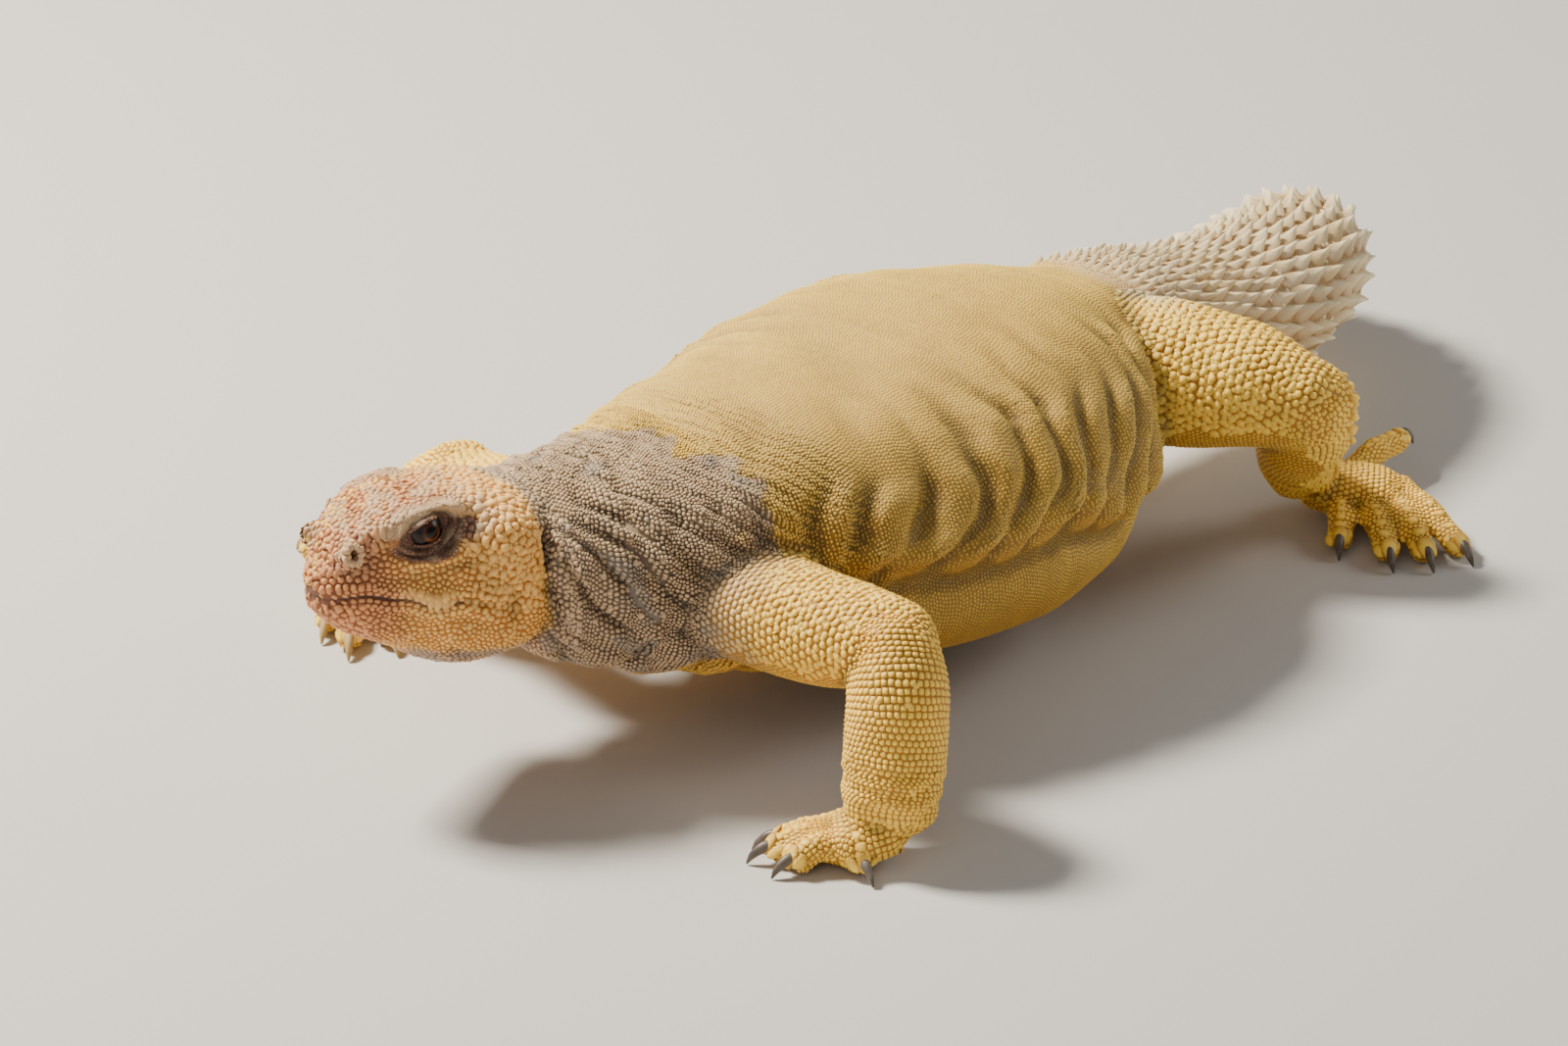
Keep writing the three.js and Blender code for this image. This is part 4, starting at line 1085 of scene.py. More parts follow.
# %% Make one coat of scales
def coat(
    name,
    shape,
    seeds,
    finish,
    height,  # as a share of the scale's width
    extra=0.0,  # more height, in mm
    fit=None,  # share of width and length, or None to reach to the neighbours
    fill=0.96,  # how much of its outline a scale fills
    lift=0.0,  # how much higher its rear stands
    sink=0.25,  # share of its height that lies under the hide
    rough=0.12,  # how uneven the scales are
    fade=1.0,  # how pale its top may get
    limb=0.0,  # how much it belongs to a leg
    slot="scaled_skin",
    seed=5,
):
    points, faces = shape
    draw = np.random.default_rng(seed)
    count, per = len(seeds["u"]), len(points)
    back, out = seeds["back"], seeds["out"]
    across = unit(np.cross(back, out))
    turn = draw.normal(0, 0.09, (count, 1))
    cos, sin = np.cos(turn), np.sin(turn)
    across, back = across * cos + back * sin, back * cos - across * sin
    scale = 1 + draw.normal(0, rough, (count, 3)).clip(-0.3, 0.3)
    tall = (height * seeds["width"] + extra) * scale[:, 2]
    if fit:
        local = fitted(points, seeds, fit, scale, tall)
    else:
        local = reaching(points, seeds, across, back, tall, fill, lift)
    local[..., 2] -= (sink * tall)[:, None]
    world = (
        seeds["place"][:, None]
        + across[:, None] * local[..., :1]
        + back[:, None] * local[..., 1:2]
        + out[:, None] * local[..., 2:]
    )
    world = (world + SHIFT) * MM
    world[..., 2] = np.maximum(world[..., 2], 0.0)  # nothing goes below the floor
    mesh, corners = copies(name, world, faces)
    values = marks(seeds["place"], out, limb if np.ndim(limb) else np.full(count, float(limb)))
    values["tone"] = draw.normal(0, 1, count).clip(-2, 2)
    # the painted shade of creases and painted light of crests under each scale
    values["hollow"] = seeds["hollow"]
    values = {k: np.repeat(v, per) for k, v in values.items()}
    # how high a point of the scale stands, which gives its top partly painted light and its rim partly
    # painted shade
    rise = (points[:, 2] - points[:, 2].min()) / np.ptp(points[:, 2])
    values["rise"] = np.tile(rise * fade, count)
    set_marks(mesh, values)
    bake_map(mesh, seeds, points, corners)
    obj = bpy.data.objects.new(name, mesh)
    bpy.context.scene.collection.objects.link(obj)
    mesh.materials.append(finish)
    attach(obj, "root")
    covered.append(seeds["place"])
    print(f"{name}: {count} scales, {len(corners) // 3} triangles")
    return obj


# %% [markdown]
# ## The finish of the hide
# Every scale is palest at its top and darker at its rim, where dust and skin show; part of this is painted
# light on the top and painted shade at the rim. The group mixes a dark and a pale colour for each part of
# the body by its mark, then lays sand over the upturned surfaces, slate on the cape and mud on the face, and
# darkens hollows with painted shade. It puts out a colour, a roughness and a height; the shader itself stays
# in each material.

# %% Helpers for shader nodes
def srgb(r, g, b):
    """A colour as a painter's program names it, turned into Blender's linear one."""
    return tuple(((v / 255 + 0.055) / 1.055) ** 2.4 if v > 10 else v / 3295 for v in (r, g, b)) + (1,)


def feed(tree, socket, value):
    """Links another node's output to an input, or sets the input to a plain value."""
    if isinstance(value, bpy.types.NodeSocket):
        tree.links.new(value, socket)
    else:
        socket.default_value = value


def blend(tree, factor, a, b, kind="MIX"):
    """A Mix node for colours."""
    node = tree.nodes.new("ShaderNodeMix")
    node.data_type, node.blend_type = "RGBA", kind
    for place, value in ((0, factor), (6, a), (7, b)):
        feed(tree, node.inputs[place], value)
    return node.outputs[2]


def figure(tree, kind, *values):
    """A Math node."""
    node = tree.nodes.new("ShaderNodeMath")
    node.operation = kind
    for socket, value in zip(node.inputs, values):
        feed(tree, socket, value)
    return node.outputs[0]


def noise(tree, vector, scale, detail=3.0, roughness=0.6):
    node = tree.nodes.new("ShaderNodeTexNoise")
    node.inputs["Scale"].default_value = scale
    node.inputs["Detail"].default_value = detail
    node.inputs["Roughness"].default_value = roughness
    tree.links.new(vector, node.inputs["Vector"])
    return node.outputs[0]


def attribute(tree, name):
    """Reads a mark that the mesh carries."""
    node = tree.nodes.new("ShaderNodeAttribute")
    node.attribute_name = name
    return node.outputs["Fac"]


def shallow_relief(tree, height, strength, distance):
    """A Bump node between a height and the shader. distance is in metres."""
    bump = tree.nodes.new("ShaderNodeBump")
    bump.inputs["Strength"].default_value = strength
    bump.inputs["Distance"].default_value = distance
    tree.links.new(height, bump.inputs["Height"])
    tree.links.new(bump.outputs["Normal"], tree.nodes["Principled BSDF"].inputs["Normal"])


# %% Colours of the hide
# each part's dark and pale colours are partly painted shade at a scale's rim and painted light on its top
HIDE_COLOURS = {  # dark rim and pale top of a scale
    "body": (srgb(132, 92, 20), srgb(242, 204, 84)),
    "limb": (srgb(156, 98, 6), srgb(254, 210, 78)),
    "belly": (srgb(150, 102, 20), srgb(224, 178, 70)),
    "cape": (srgb(70, 50, 34), srgb(206, 174, 136)),
    "face": (srgb(176, 104, 20), srgb(240, 190, 104)),
    "warm": (srgb(118, 60, 28), srgb(216, 147, 92)),
    "lid": (srgb(78, 48, 34), srgb(164, 118, 90)),
    "ivory": (srgb(150, 104, 38), srgb(242, 226, 182)),
}
SAND, MUD, SLATE = srgb(200, 166, 90), srgb(192, 164, 126), srgb(128, 122, 114)

# %% The group's inputs and outputs
hide_group = bpy.data.node_groups.new("lizard_hide", "ShaderNodeTree")
for name in ("rise", "tone", "hollow", *MARKS):
    hide_group.interface.new_socket(name, in_out="INPUT", socket_type="NodeSocketFloat")
for name, kind in (("Colour", "Color"), ("Roughness", "Float"), ("Height", "Float")):
    hide_group.interface.new_socket(name, in_out="OUTPUT", socket_type="NodeSocket" + kind)
entry = hide_group.nodes.new("NodeGroupInput").outputs
leave = hide_group.nodes.new("NodeGroupOutput").inputs
print("the hide's group reads", len(entry) - 1, "masks and values")


# %% Colour of a scale, from rim to top and from part to part
def part_of(mask, share):
    """A mask made weaker."""
    return figure(hide_group, "MULTIPLY", entry[mask], share)


dark, pale = HIDE_COLOURS["body"]
for mark, (mark_dark, mark_pale) in list(HIDE_COLOURS.items())[1:]:
    dark = blend(hide_group, entry[mark], dark, mark_dark)
    pale = blend(hide_group, entry[mark], pale, mark_pale)
# painted light and shade: each scale is pale at its top and dark at its rim, partly its own colour
colour = blend(hide_group, figure(hide_group, "POWER", entry["rise"], 1.1), dark, pale)
dust_colour = blend(hide_group, entry["cape"], SAND, MUD)
colour = blend(hide_group, part_of("dust", 0.6), colour, dust_colour)
colour = blend(hide_group, part_of("blue", 0.5), colour, SLATE)
colour = blend(hide_group, part_of("mud", 0.72), colour, MUD)

# %% Shade by clouds and grime, with painted shade in hollows and painted light on crests
place_node = hide_group.nodes.new("ShaderNodeTexCoord").outputs["Object"]
cloudy, grime = noise(hide_group, place_node, 60, 5), noise(hide_group, place_node, 260, 4)
shade = figure(hide_group, "MULTIPLY_ADD", entry["tone"], 0.06, 0.62)
# painted shade: hollows darken the colour, and crests are painted a little paler
deep = figure(hide_group, "MAXIMUM", entry["hollow"], -0.3)
for value, share in ((cloudy, 0.62), (grime, 0.28), (deep, -0.42)):
    shade = figure(hide_group, "ADD", shade, figure(hide_group, "MULTIPLY", value, share))
grey = hide_group.nodes.new("ShaderNodeCombineColor")
for socket in grey.inputs[:3]:
    hide_group.links.new(shade, socket)
colour = blend(hide_group, 1.0, colour, grey.outputs[0], "MULTIPLY")
hide_group.links.new(colour, leave["Colour"])
hide_group.links.new(figure(hide_group, "MULTIPLY_ADD", entry["dust"], 0.2, 0.55), leave["Roughness"])
hide_group.links.new(noise(hide_group, place_node, 900, 3), leave["Height"])
print("the hide's group has", len(hide_group.nodes), "nodes")


# %% The dry and bare finishes
def hide_material(name, values=None, relief=0.25, coat_weight=0.0):
    """values fixes inputs that the mesh doesn't carry as attributes."""
    material = bpy.data.materials.new(name)
    material.use_nodes = True
    tree = material.node_tree
    shader = tree.nodes["Principled BSDF"]
    group = tree.nodes.new("ShaderNodeGroup")
    group.node_tree = hide_group
    for socket in group.inputs:
        if values and socket.name in values:
            socket.default_value = values[socket.name]
        else:
            tree.links.new(attribute(tree, socket.name), socket)
    tree.links.new(group.outputs["Colour"], shader.inputs["Base Color"])
    tree.links.new(group.outputs["Roughness"], shader.inputs["Roughness"])
    shallow_relief(tree, group.outputs["Height"], relief, 0.0004)
    shader.inputs["Coat Weight"].default_value = coat_weight
    return material


scale_finish = hide_material("scales_dry")
head_finish = hide_material("scales_head", relief=0.4)
thorn_finish = hide_material("tail_thorns", relief=0.35, coat_weight=0.08)
# the bare hide takes mostly the dark end of each colour, partly painted shade between the scales
skin_finish = hide_material("bare_skin", {"rise": 0.12, "tone": 0.0}, relief=0.6)
print("finishes:", scale_finish.name, head_finish.name, thorn_finish.name, skin_finish.name)

# %% [markdown]
# ## The coat of the trunk, neck and legs
# The trunk has the finest scales, well over two hundred in a row round the middle. Toward the neck they
# grow into round granules, and on the legs into flat shields about as wide as a grain of rice. Each
# part is sown along its own tube, and the trunk's coat is cut in two at the middle to keep each piece
# of a size that exports well.

# %% Sow the neck and the trunk
NECK_SIZE, TRUNK_SIZE = 1.45, 1.1
TRUNK_FROM, TRUNK_TO = spine_t(33), 10.15 / SPANS


def neck_size(t):
    return mix(NECK_SIZE, TRUNK_SIZE, smooth(spine_centre(t)[..., 1], 8, 30))


neck_seeds = sow(trunk, neck_size, 0.3 / SPANS, TRUNK_FROM, seed=11)
trunk_seeds = sow(trunk, TRUNK_SIZE, TRUNK_FROM, TRUNK_TO, pitch=0.84, wobble=0.05, seed=12)
neck_seeds = pick(neck_seeds, (neck_seeds["place"] - SNOUT) @ back_axis > 57)
print(len(neck_seeds["u"]), "places on the neck,", len(trunk_seeds["u"]), "on the trunk")

# %% Crinkle the neck and lay both coats
CRINKLE_PITCH, CRINKLE_HEIGHT = 3.9, 0.55


def crinkled(seeds):
    """Narrow folds of the neck and shoulder: scales pushed out on the crests, with painted shade in between.
    """
    place = seeds["place"]
    y, rise = place[:, 1], np.maximum(place[:, 2] - 52, 0)
    strength = smooth(y, -8, 4) * (1 - smooth(y, 44, 62)) * (1 - 0.4 * smooth(rise, 20, 32))
    phase = (y + 1.2 * rise) / CRINKLE_PITCH + 0.45 * rumple(place, 18, 71)
    wave = strength * (ridge(phase, 0.7) + 0.62)
    place = place + CRINKLE_HEIGHT * wave[:, None] * seeds["out"]
    # painted shade in the valleys between crinkles, and painted light on their crests
    return seeds | {"place": place, "hollow": seeds["hollow"] + strength - 1.3 * wave}


neck_seeds, trunk_seeds = crinkled(neck_seeds), crinkled(trunk_seeds)
coat("neck_granules", dome(6, 2), neck_seeds, scale_finish, 0.4, seed=21)
MIDDLE = 112  # y at which the trunk's coat is cut in two
ahead = trunk_seeds["place"][:, 1] < MIDDLE
for name, chosen in (("shoulder_scales", ahead), ("hip_scales", ~ahead)):
    half = pick(trunk_seeds, chosen)
    coat(name, CAP, half, scale_finish, 0.44, fit=(0.55, 0.53), seed=22, rough=0.07)

# %% Leg scales
def outer_side(name):
    """+1 on the outer and upper side of a leg, -1 on its inner and under side."""
    side = 1 if name.endswith("left") else -1
    way = unit(np.array([0.55 * side, -0.1 if name.startswith("front") else 0.25, 0.8]))
    return lambda seeds: seeds["out"] @ way + 0.12 * rumple(seeds["place"], 16, 61)


def leg_share(part, seeds):
    """How much each scale belongs to the leg: the upper tube begins in the trunk."""
    return smooth(seeds["t"], 0.12, 0.5) if part == "upper" else 1 + 0 * seeds["t"]


def growing(start, stop, bulge):
    """A size that changes from start to stop along a tube, with a bulge past its middle."""
    return lambda t: mix(start, stop, smooth(t, 0.0, 0.55)) + bulge * bell(t, 0.6, 0.3)


# %% Lay the scales of the legs
COARSE = {"upper": (1.7, 2.5), "lower": (2.0, 1.75), "pad": (1.8, 1.8)}  # width at both ends
COARSE_TOE = (1.6, 1.5)
THIGH_BULGE = 0.35
FINE, FINE_TOE = (1.4, 0.05), (1.3, 0.08)  # width and wobble on the underside
REACH = {"upper": (0.05, 1.7), "lower": (-0.6, 1.3), "pad": (-0.3, 1.8)}  # first and last t
TOE_REACH = (-0.3, 1.75)
UNDER = -0.25  # outer_side below this is the underside
for pair in ("front", "hind"):
    coarse, fine = [], []
    for row, name in enumerate(n for n in LEGS if n.startswith(pair)):
        outer = outer_side(name)
        for column, (part, form) in enumerate(legs[name].items()):
            seed = column + 10 * row
            place = {"tile": (column / 8, row / 2, 1 / 8, 1 / 2), "near": 1.1}
            first, last = REACH.get(part, TOE_REACH)
            thigh = pair == "hind" and part == "upper"
            size = growing(*COARSE.get(part, COARSE_TOE), THIGH_BULGE if thigh else 0.0)
            big = sow(form, size, first, last, wobble=0.05, seed=40 + seed, **place)
            big |= {"limb": leg_share(part, big)}
            coarse.append(pick(big, outer(big) > UNDER))
            size, wobble = FINE if part in REACH else FINE_TOE
            small = sow(form, size, first, last, wobble=wobble, seed=80 + seed, **place)
            small |= {"limb": leg_share(part, small)}
            fine.append(pick(small, outer(small) <= UNDER))
    coarse, fine = pooled(*coarse), pooled(*fine)
    top_look = {"height": 0.24, "extra": 0.08, "lift": 0.4, "limb": coarse["limb"], "seed": 50}
    low_look = {"height": 0.3, "fit": (0.55, 0.6), "limb": fine["limb"], "seed": 51}
    coat(f"{pair}_leg_scales", SHIELD, coarse, scale_finish, rough=0.08, **top_look)
    coat(f"{pair}_leg_underside", CAP, fine, scale_finish, rough=0.08, **low_look)

# %% Spurs along the rear edge of the knee and the shank
knee = coarse["place"]  # of the hind legs, which came last
side_of = np.sign(knee[:, 0])
rearward = np.stack([0.74 * side_of, np.full(len(side_of), 0.62), np.full(len(side_of), 0.1)], -1)
on_edge = np.einsum("ij,ij->i", coarse["out"], unit(rearward)) > 0.86
on_edge &= (np.abs(knee[:, 0]) > 50) & (knee[:, 2] > 16) & (knee[:, 2] < 58)
on_edge[1::2] = False
spurs = pick(coarse, on_edge)
spurs["out"] = unit(spurs["out"] + 0.3 * spurs["back"])
SPUR = dome(8, 4, point=0.75, lift=0.5)
coat("knee_spurs", SPUR, spurs, scale_finish, 1.0, fit=(0.62, 0.8), limb=1.0, seed=53, sink=0.2)

# %% [markdown]
# ## Toe plates
# The tips of the toes carry large smooth plates that overlap toward the claw, like the toe of an old
# suit of armour: one hood over the root of the claw, and smaller ones behind it.

# %% Place the plates along each toe
TOE_PLATES = [  # t along the toe, width, length, side in degrees from the top
    (1.32, 4.3, 4.8, 0), (0.98, 4.0, 3.0, 0), (0.8, 3.6, 2.6, 0), (0.64, 3.2, 2.3, 0), (0.5, 2.8, 2.1, 0),
    (0.36, 2.5, 2.0, 0), (1.2, 3.0, 3.4, 62), (0.92, 2.6, 2.4, 60), (1.2, 3.0, 3.4, -62),
    (0.92, 2.6, 2.4, -60),
]  # fmt: skip
toes = []
along, wide, deep, aside = np.array(TOE_PLATES).T
for row, name in enumerate(LEGS):
    for digit in range(1, 6):
        tile = (digit / 6, row / 4, 1 / 6, 1 / 4)
        form = legs[name][f"digit_{digit}"]
        toes.append(settled(form, along, np.radians(90 + aside), wide, deep, tile, (0, 2), 1.5))
toes = pooled(*toes)
coat("toe_plates", HOOD, toes, scale_finish, 0.3, fit=(0.52, 0.62), limb=1.0, seed=52, rough=0.06, sink=0.3)

# %% [markdown]
# ## The tail's thorns
# The tail is the animal's weapon: rings of keeled thorns, small by the hips, largest where the tail
# bends, and small again at the tip. Below, they give way to flat plates, so that the tail can lie.
# The rings are worked out one after another, each as far from the last as its own thorns are long.

# %% Rings of thorns
PITCH_PLACES = [9.3, 10.3, 12.0, 14.0, 16.0, 18.5, 21.0]  # spans of the spine, from the hips to the tip
PITCHES = [4.2, 5.4, 7.2, 8.8, 8.8, 7.2, 4.6]  # mm between rings at each of them
THORN_WIDTH = 0.66  # of the distance between rings
LOW_SIDE = -0.42  # sine of the angle round the tail below which plates take over


def ring_pitch(t):
    """Distance between rings in mm."""
    return np.interp(t * SPANS, PITCH_PLACES, PITCHES)


fine_t = np.linspace(9.45 / SPANS, 0.997, 900)
ring_steps = np.linalg.norm(np.diff(spine_centre(fine_t), axis=0), axis=1)
ring_count = np.concatenate([[0], np.cumsum(ring_steps / ring_pitch(fine_t[1:]))])
rings = np.interp(np.arange(0.5, ring_count[-1]), ring_count, fine_t)
print(len(rings), "rings on the tail")

# %% Thorns above and plates below
TAIL_PLACE = {"span": (9.4 / SPANS, 1.0), "near": 3.2}
thorns, plates = [], []
draw = np.random.default_rng(71)
around = np.linspace(0, 2 * np.pi, 361)
for i, t in enumerate(rings):
    pitch = ring_pitch(t)
    lap = lap_lengths(tail_core(np.full_like(around, t), around))
    n = max(int(round(lap[-1] / (THORN_WIDTH * pitch))), 6)
    turns = (np.arange(n) + 0.5 * (i % 2) + draw.normal(0, 0.05, n)) % n / n
    a = np.interp(turns * lap[-1], lap, around)
    upper = np.sin(a) > LOW_SIDE
    wide, deep = np.full(n, lap[-1] / n), np.full(n, pitch)
    ts = np.full(n, t) + draw.normal(0, 0.03, n) * pitch / 480
    thorns.append(settled(tail_core, ts[upper], a[upper], wide[upper], deep[upper], **TAIL_PLACE))
    for half in (-0.25, 0.25):  # two rows of plates to a ring
        low = ~upper
        low_t = np.clip(ts[low] + half * pitch / 484, 0, 0.999)
        plates.append(settled(tail_core, low_t, a[low], wide[low], deep[low] / 2, **TAIL_PLACE))
thorns, plates = pooled(*thorns), pooled(*plates)
top_look = {"height": 0.34, "extra": 0.3, "fit": (0.56, 0.74), "rough": 0.1, "sink": 0.35, "seed": 72}
low_look = {"height": 0.2, "fit": (0.52, 0.6), "rough": 0.07, "seed": 73}
coat("tail_thorns", THORN, thorns, thorn_finish, slot="tail_scutes", **top_look)
coat("tail_underside", LEAF, plates, thorn_finish, slot="tail_scutes", **low_look)

# %% Small scales between the rings
grains = sow(tail_core, 1.9, 9.3 / SPANS, 0.999, seed=74, wobble=0.12, near=2.5)
coat("tail_granules", CAP, grains, scale_finish, 0.3, fit=(0.55, 0.6), slot="tail_scutes", seed=75, fade=0.3)

# %% [markdown]
# ## Pebbles of the head
# The head's scales follow no rows: they are irregular pebbles, large on the cheek and the crown, fine
# as sand on the lids. Points are thrown on the hide at random, and one that falls too near an earlier
# one is dropped. A few rounds of gentle pushing then even out the gaps, as in a real pavement of scales.

# %% Throw, thin out and push apart
CLOSEST = 0.43  # of the sum of two sizes
PUSH = 0.22  # share of what is missing to the wished gap, in each round
face_areas = 0.5 * np.linalg.norm(face_normals, axis=1)
face_middles = skin_points[skin_faces].mean(1)


def thrown(draw, faces, share, n):
    """n random points on triangles of the hide, more where share is larger."""
    which = draw.choice(len(faces), n, p=share)
    u, v = draw.random((2, n, 1))
    flip = u + v > 1
    u, v = np.where(flip, 1 - u, u), np.where(flip, 1 - v, v)
    a, b, c = (skin_points[faces[which, k]] for k in range(3))
    return a + u * (b - a) + v * (c - a)


def crowded(spot, size, cell, grid):
    """Whether an earlier point in this cell or one next to it is too near."""
    x, y, z = cell
    for step in product((-1, 0, 1), repeat=3):
        for other, gap in grid.get((x + step[0], y + step[1], z + step[2]), ()):
            if math.dist(other, spot) < CLOSEST * (gap + size):
                return True
    return False


def thinned(spots, sizes):
    """Indices of the points that keep their distance from all earlier ones."""
    cells = np.floor(spots / sizes.max()).astype(int).tolist()
    grid, kept = {}, []
    for i, (cell, spot, size) in enumerate(zip(cells, spots.tolist(), sizes.tolist())):
        if not crowded(spot, size, cell, grid):
            grid.setdefault(tuple(cell), []).append((spot, size))
            kept.append(i)
    return kept


def pushed_apart(spots, sizes):
    """One round of pushing: points nearer than their size wishes move a little away."""
    tree = tree_of(spots.tolist())
    near = np.array([[f[1] for f in tree.find_n(spot, 8)] for spot in spots.tolist()])
    apart = spots[:, None] - spots[near[:, 1:]]
    gap = np.linalg.norm(apart, axis=-1)
    wish = 0.5 * (sizes[:, None] + sizes[near[:, 1:]])
    push = np.clip(wish - gap, 0, None) * PUSH
    return settle(spots + (apart / gap[..., None] * push[..., None]).sum(1))[0]


# %% Seeds of pebbles
THROWS = 11  # points thrown for each one wanted


def pebbles(chosen, size_at, seed, rounds=6):
    """Seeds spread on the chosen faces of the hide, as far apart as size_at says."""
    draw = np.random.default_rng(seed)
    want = face_areas[chosen] / size_at(face_middles[chosen]) ** 2
    spots = thrown(draw, skin_faces[chosen], want / want.sum(), int(want.sum() * THROWS))
    sizes = size_at(spots)
    kept = thinned(spots, sizes)
    spots, sizes = spots[kept], sizes[kept]
    for _ in range(rounds):
        spots = pushed_apart(spots, sizes)
        sizes = size_at(spots)
    spots, out, _, hollow = settle(spots)
    tree = tree_of(spots.tolist())
    near = np.array([[f[2] for f in tree.find_n(spot, 6)] for spot in spots.tolist()])
    width = np.clip(near[:, 1:].mean(1), 0.7 * sizes, 1.25 * sizes)
    lie = back_axis - out * (out @ back_axis)[:, None]
    lie = unit(lie + 0.15 * draw.normal(size=lie.shape))
    seeds = {"place": spots, "out": out, "back": lie, "width": width, "length": width}
    return seeds | {"hollow": hollow} | head_chart(spots)


def head_chart(spots):
    """Place on the OFBake map: along the head, and round it."""
    local = spots - SNOUT
    back, left, up = local @ back_axis, local @ left_axis, local @ up_axis
    round_it = np.arctan2(up, left) / (2 * np.pi) + 0.5
    return {"u": 0.03 + 0.94 * np.clip(back / 75 + 0.02, 0, 1), "v": 0.03 + 0.94 * round_it}


# %% Sizes of the head's pebbles
def head_places(spots):
    """How far behind the snout, how far to the left and how high each place is."""
    local = spots - SNOUT
    return local @ back_axis, local @ left_axis, local @ up_axis + SNOUT[2]


def pebble_size(spots):
    """Distance wished between pebbles in mm."""
    back, left, z = head_places(spots)
    cheek = smooth(back, 30, 38) * (1 - smooth(back, 49, 55))
    cheek = cheek * smooth(z, 46, 54) * (1 - smooth(z, 76, 81))
    crown = smooth(z, 73, 78)
    snout = 1 - smooth(back, 6, 13)
    throat = 1 - smooth(z, 44, 51)
    size = 1.42 + 0.9 * cheek + 0.35 * crown + 0.8 * snout - 0.15 * throat
    size = size + 0.16 * rumple(spots, 9, 81)
    brow = 1 - smooth(np.abs(z - brow_line(back)), 1.6, 2.8)
    brow = brow * smooth(back, 13, 16) * (1 - smooth(back, 35, 38))
    size = mix(size, 1.16, brow * smooth(np.abs(left), 9, 11))
    off = np.abs(z - mouth_level(back))
    size = size - 0.35 * (1 - smooth(off, 3, 7)) * (1 - smooth(back, 32, 38))
    nose = np.hypot(back - NOSTRIL["back"], z - NOSTRIL["z"])
    size = size - 0.5 * (1 - smooth(nose, 2.5, 4.5)) * (1 - smooth(back, 12, 14))
    size = mix(0.72, size, smooth(eye_distance(spots), 3.4, 6.2))
    return np.clip(size, 0.68, 2.6)


# %% Pave the head
back, left, z = head_places(face_middles)
in_mouth = (np.abs(z - mouth_level(back)) < 2.6) & (back < 31.5) & (z < 70)
in_ear = np.hypot((back - 54) / 1.8, (z - 63) / 5.8) < 0.9
in_nose = np.hypot((back - NOSTRIL["back"]) / 1.15, (z - NOSTRIL["z"]) / 1.9) < 1
at_eye = eye_distance(face_middles)
open_places = in_mouth | in_ear | in_nose
on_head = (back > -3) & (back < 59.5) & (face_middles[:, 1] < 14) & ~open_places & (at_eye > 0.15)
on_head &= (np.abs(left) < 34) & (z > 28)
pebble_seeds = pebbles(on_head, pebble_size, 82)
grain = pebble_seeds["width"] < 1.12
HEAD = {"finish": head_finish, "slot": "head_skin"}
large, small = pick(pebble_seeds, ~grain), pick(pebble_seeds, grain)
coat("head_pebbles", PEBBLE, large, height=0.43, fill=0.92, seed=83, rough=0.1, **HEAD)
coat("eyelid_grains", CAP, small, height=0.3, seed=84, **HEAD)

# %% Tubercles of the neck
TUBERCLES_APART = 4.6
behind_ear = (back > 57) & (back < 78) & (z > 44) & (z < 70) & (np.abs(left) > 12)
tubercles = pebbles(behind_ear, lambda spots: np.full(len(spots), TUBERCLES_APART), 87, rounds=2)
tubercles["width"] = 1.7 + 0.5 * np.abs(rumple(tubercles["place"], 5, 88))
tubercles["length"] = tubercles["width"]
coat("neck_tubercles", PEBBLE, tubercles, scale_finish, 0.5, fit=(0.5, 0.5), seed=89)

# %% [markdown]
# ## Lip scales, nostrils and ears
# Small squarish scales run in rows along both lips. Below the eye the upper rows grow into uneven,
# blunt-pointed plates, the longest of which hang over the lower lip. The nostril is a raised ring of
# grains, larger plates climb the snout behind it, and pointed scales fringe the front of the ear.

# %% Rows along the lips
def skull_angle(t, level, side):
    """The angle round the skull at which a height is met, on the left (1) or right (-1)."""
    angles = np.radians(np.linspace(-89, 89, 90))
    grid = skull(t[:, None], angles[None, :])
    heights = (grid - SNOUT) @ up_axis + SNOUT[2]
    found = np.array([np.interp(want, row, angles) for want, row in zip(level, heights)])
    return found if side > 0 else np.pi - found


def skull_t(back):
    """The skull's parameter at a distance behind the snout."""
    t = np.linspace(0, 1, 300)
    return np.interp(back, (skull_centre(t) - SNOUT) @ back_axis, t)


LIP_ROWS = ((0.78, 1.75), (2.0, 1.5), (-0.78, 1.75), (-2.0, 1.5))  # mm over the mouth's line, length
LIP_END, LIP_WIDTH = 31.5, 1.25
lips = []
for side in (1, -1):
    for row, (off, step) in enumerate(LIP_ROWS):
        back = np.arange(0.6 + 0.5 * step * (row % 2), LIP_END, step)
        t = skull_t(back)
        a = skull_angle(t, mouth_level(back) + off, side)
        lips.append(settled(skull, t, a, np.full(len(t), LIP_WIDTH), np.full(len(t), step), near=2.2))
lips = pooled(*lips)
lips["out"] = unit(lips["out"] - 0.7 * (lips["out"] @ up_axis)[:, None] * up_axis)
# no painted shade on the lip scales, only the painted light on crests
lips["hollow"] = np.minimum(lips["hollow"], 0)
lips |= head_chart(lips["place"])
LIP_SCALE = dome(8, 3, square=0.7)
coat("lip_scales", LIP_SCALE, lips, height=0.42, fit=(0.5, 0.49), seed=85, rough=0.1, sink=0.12, **HEAD)


# %% Pointed plates, nostril grains and the ear's fringe
def placed(spots, lie, width, length):
    """Seeds at single places, with their rear ends turned along lie."""
    place, out, _, hollow = settle(np.array(spots))
    lie = np.array(lie, float)
    lie = unit(lie - out * np.einsum("ij,ij->i", lie, out)[:, None])
    seeds = {"place": place, "out": out, "back": lie, "hollow": hollow}
    return seeds | {"width": np.array(width), "length": np.array(length)} | head_chart(place)


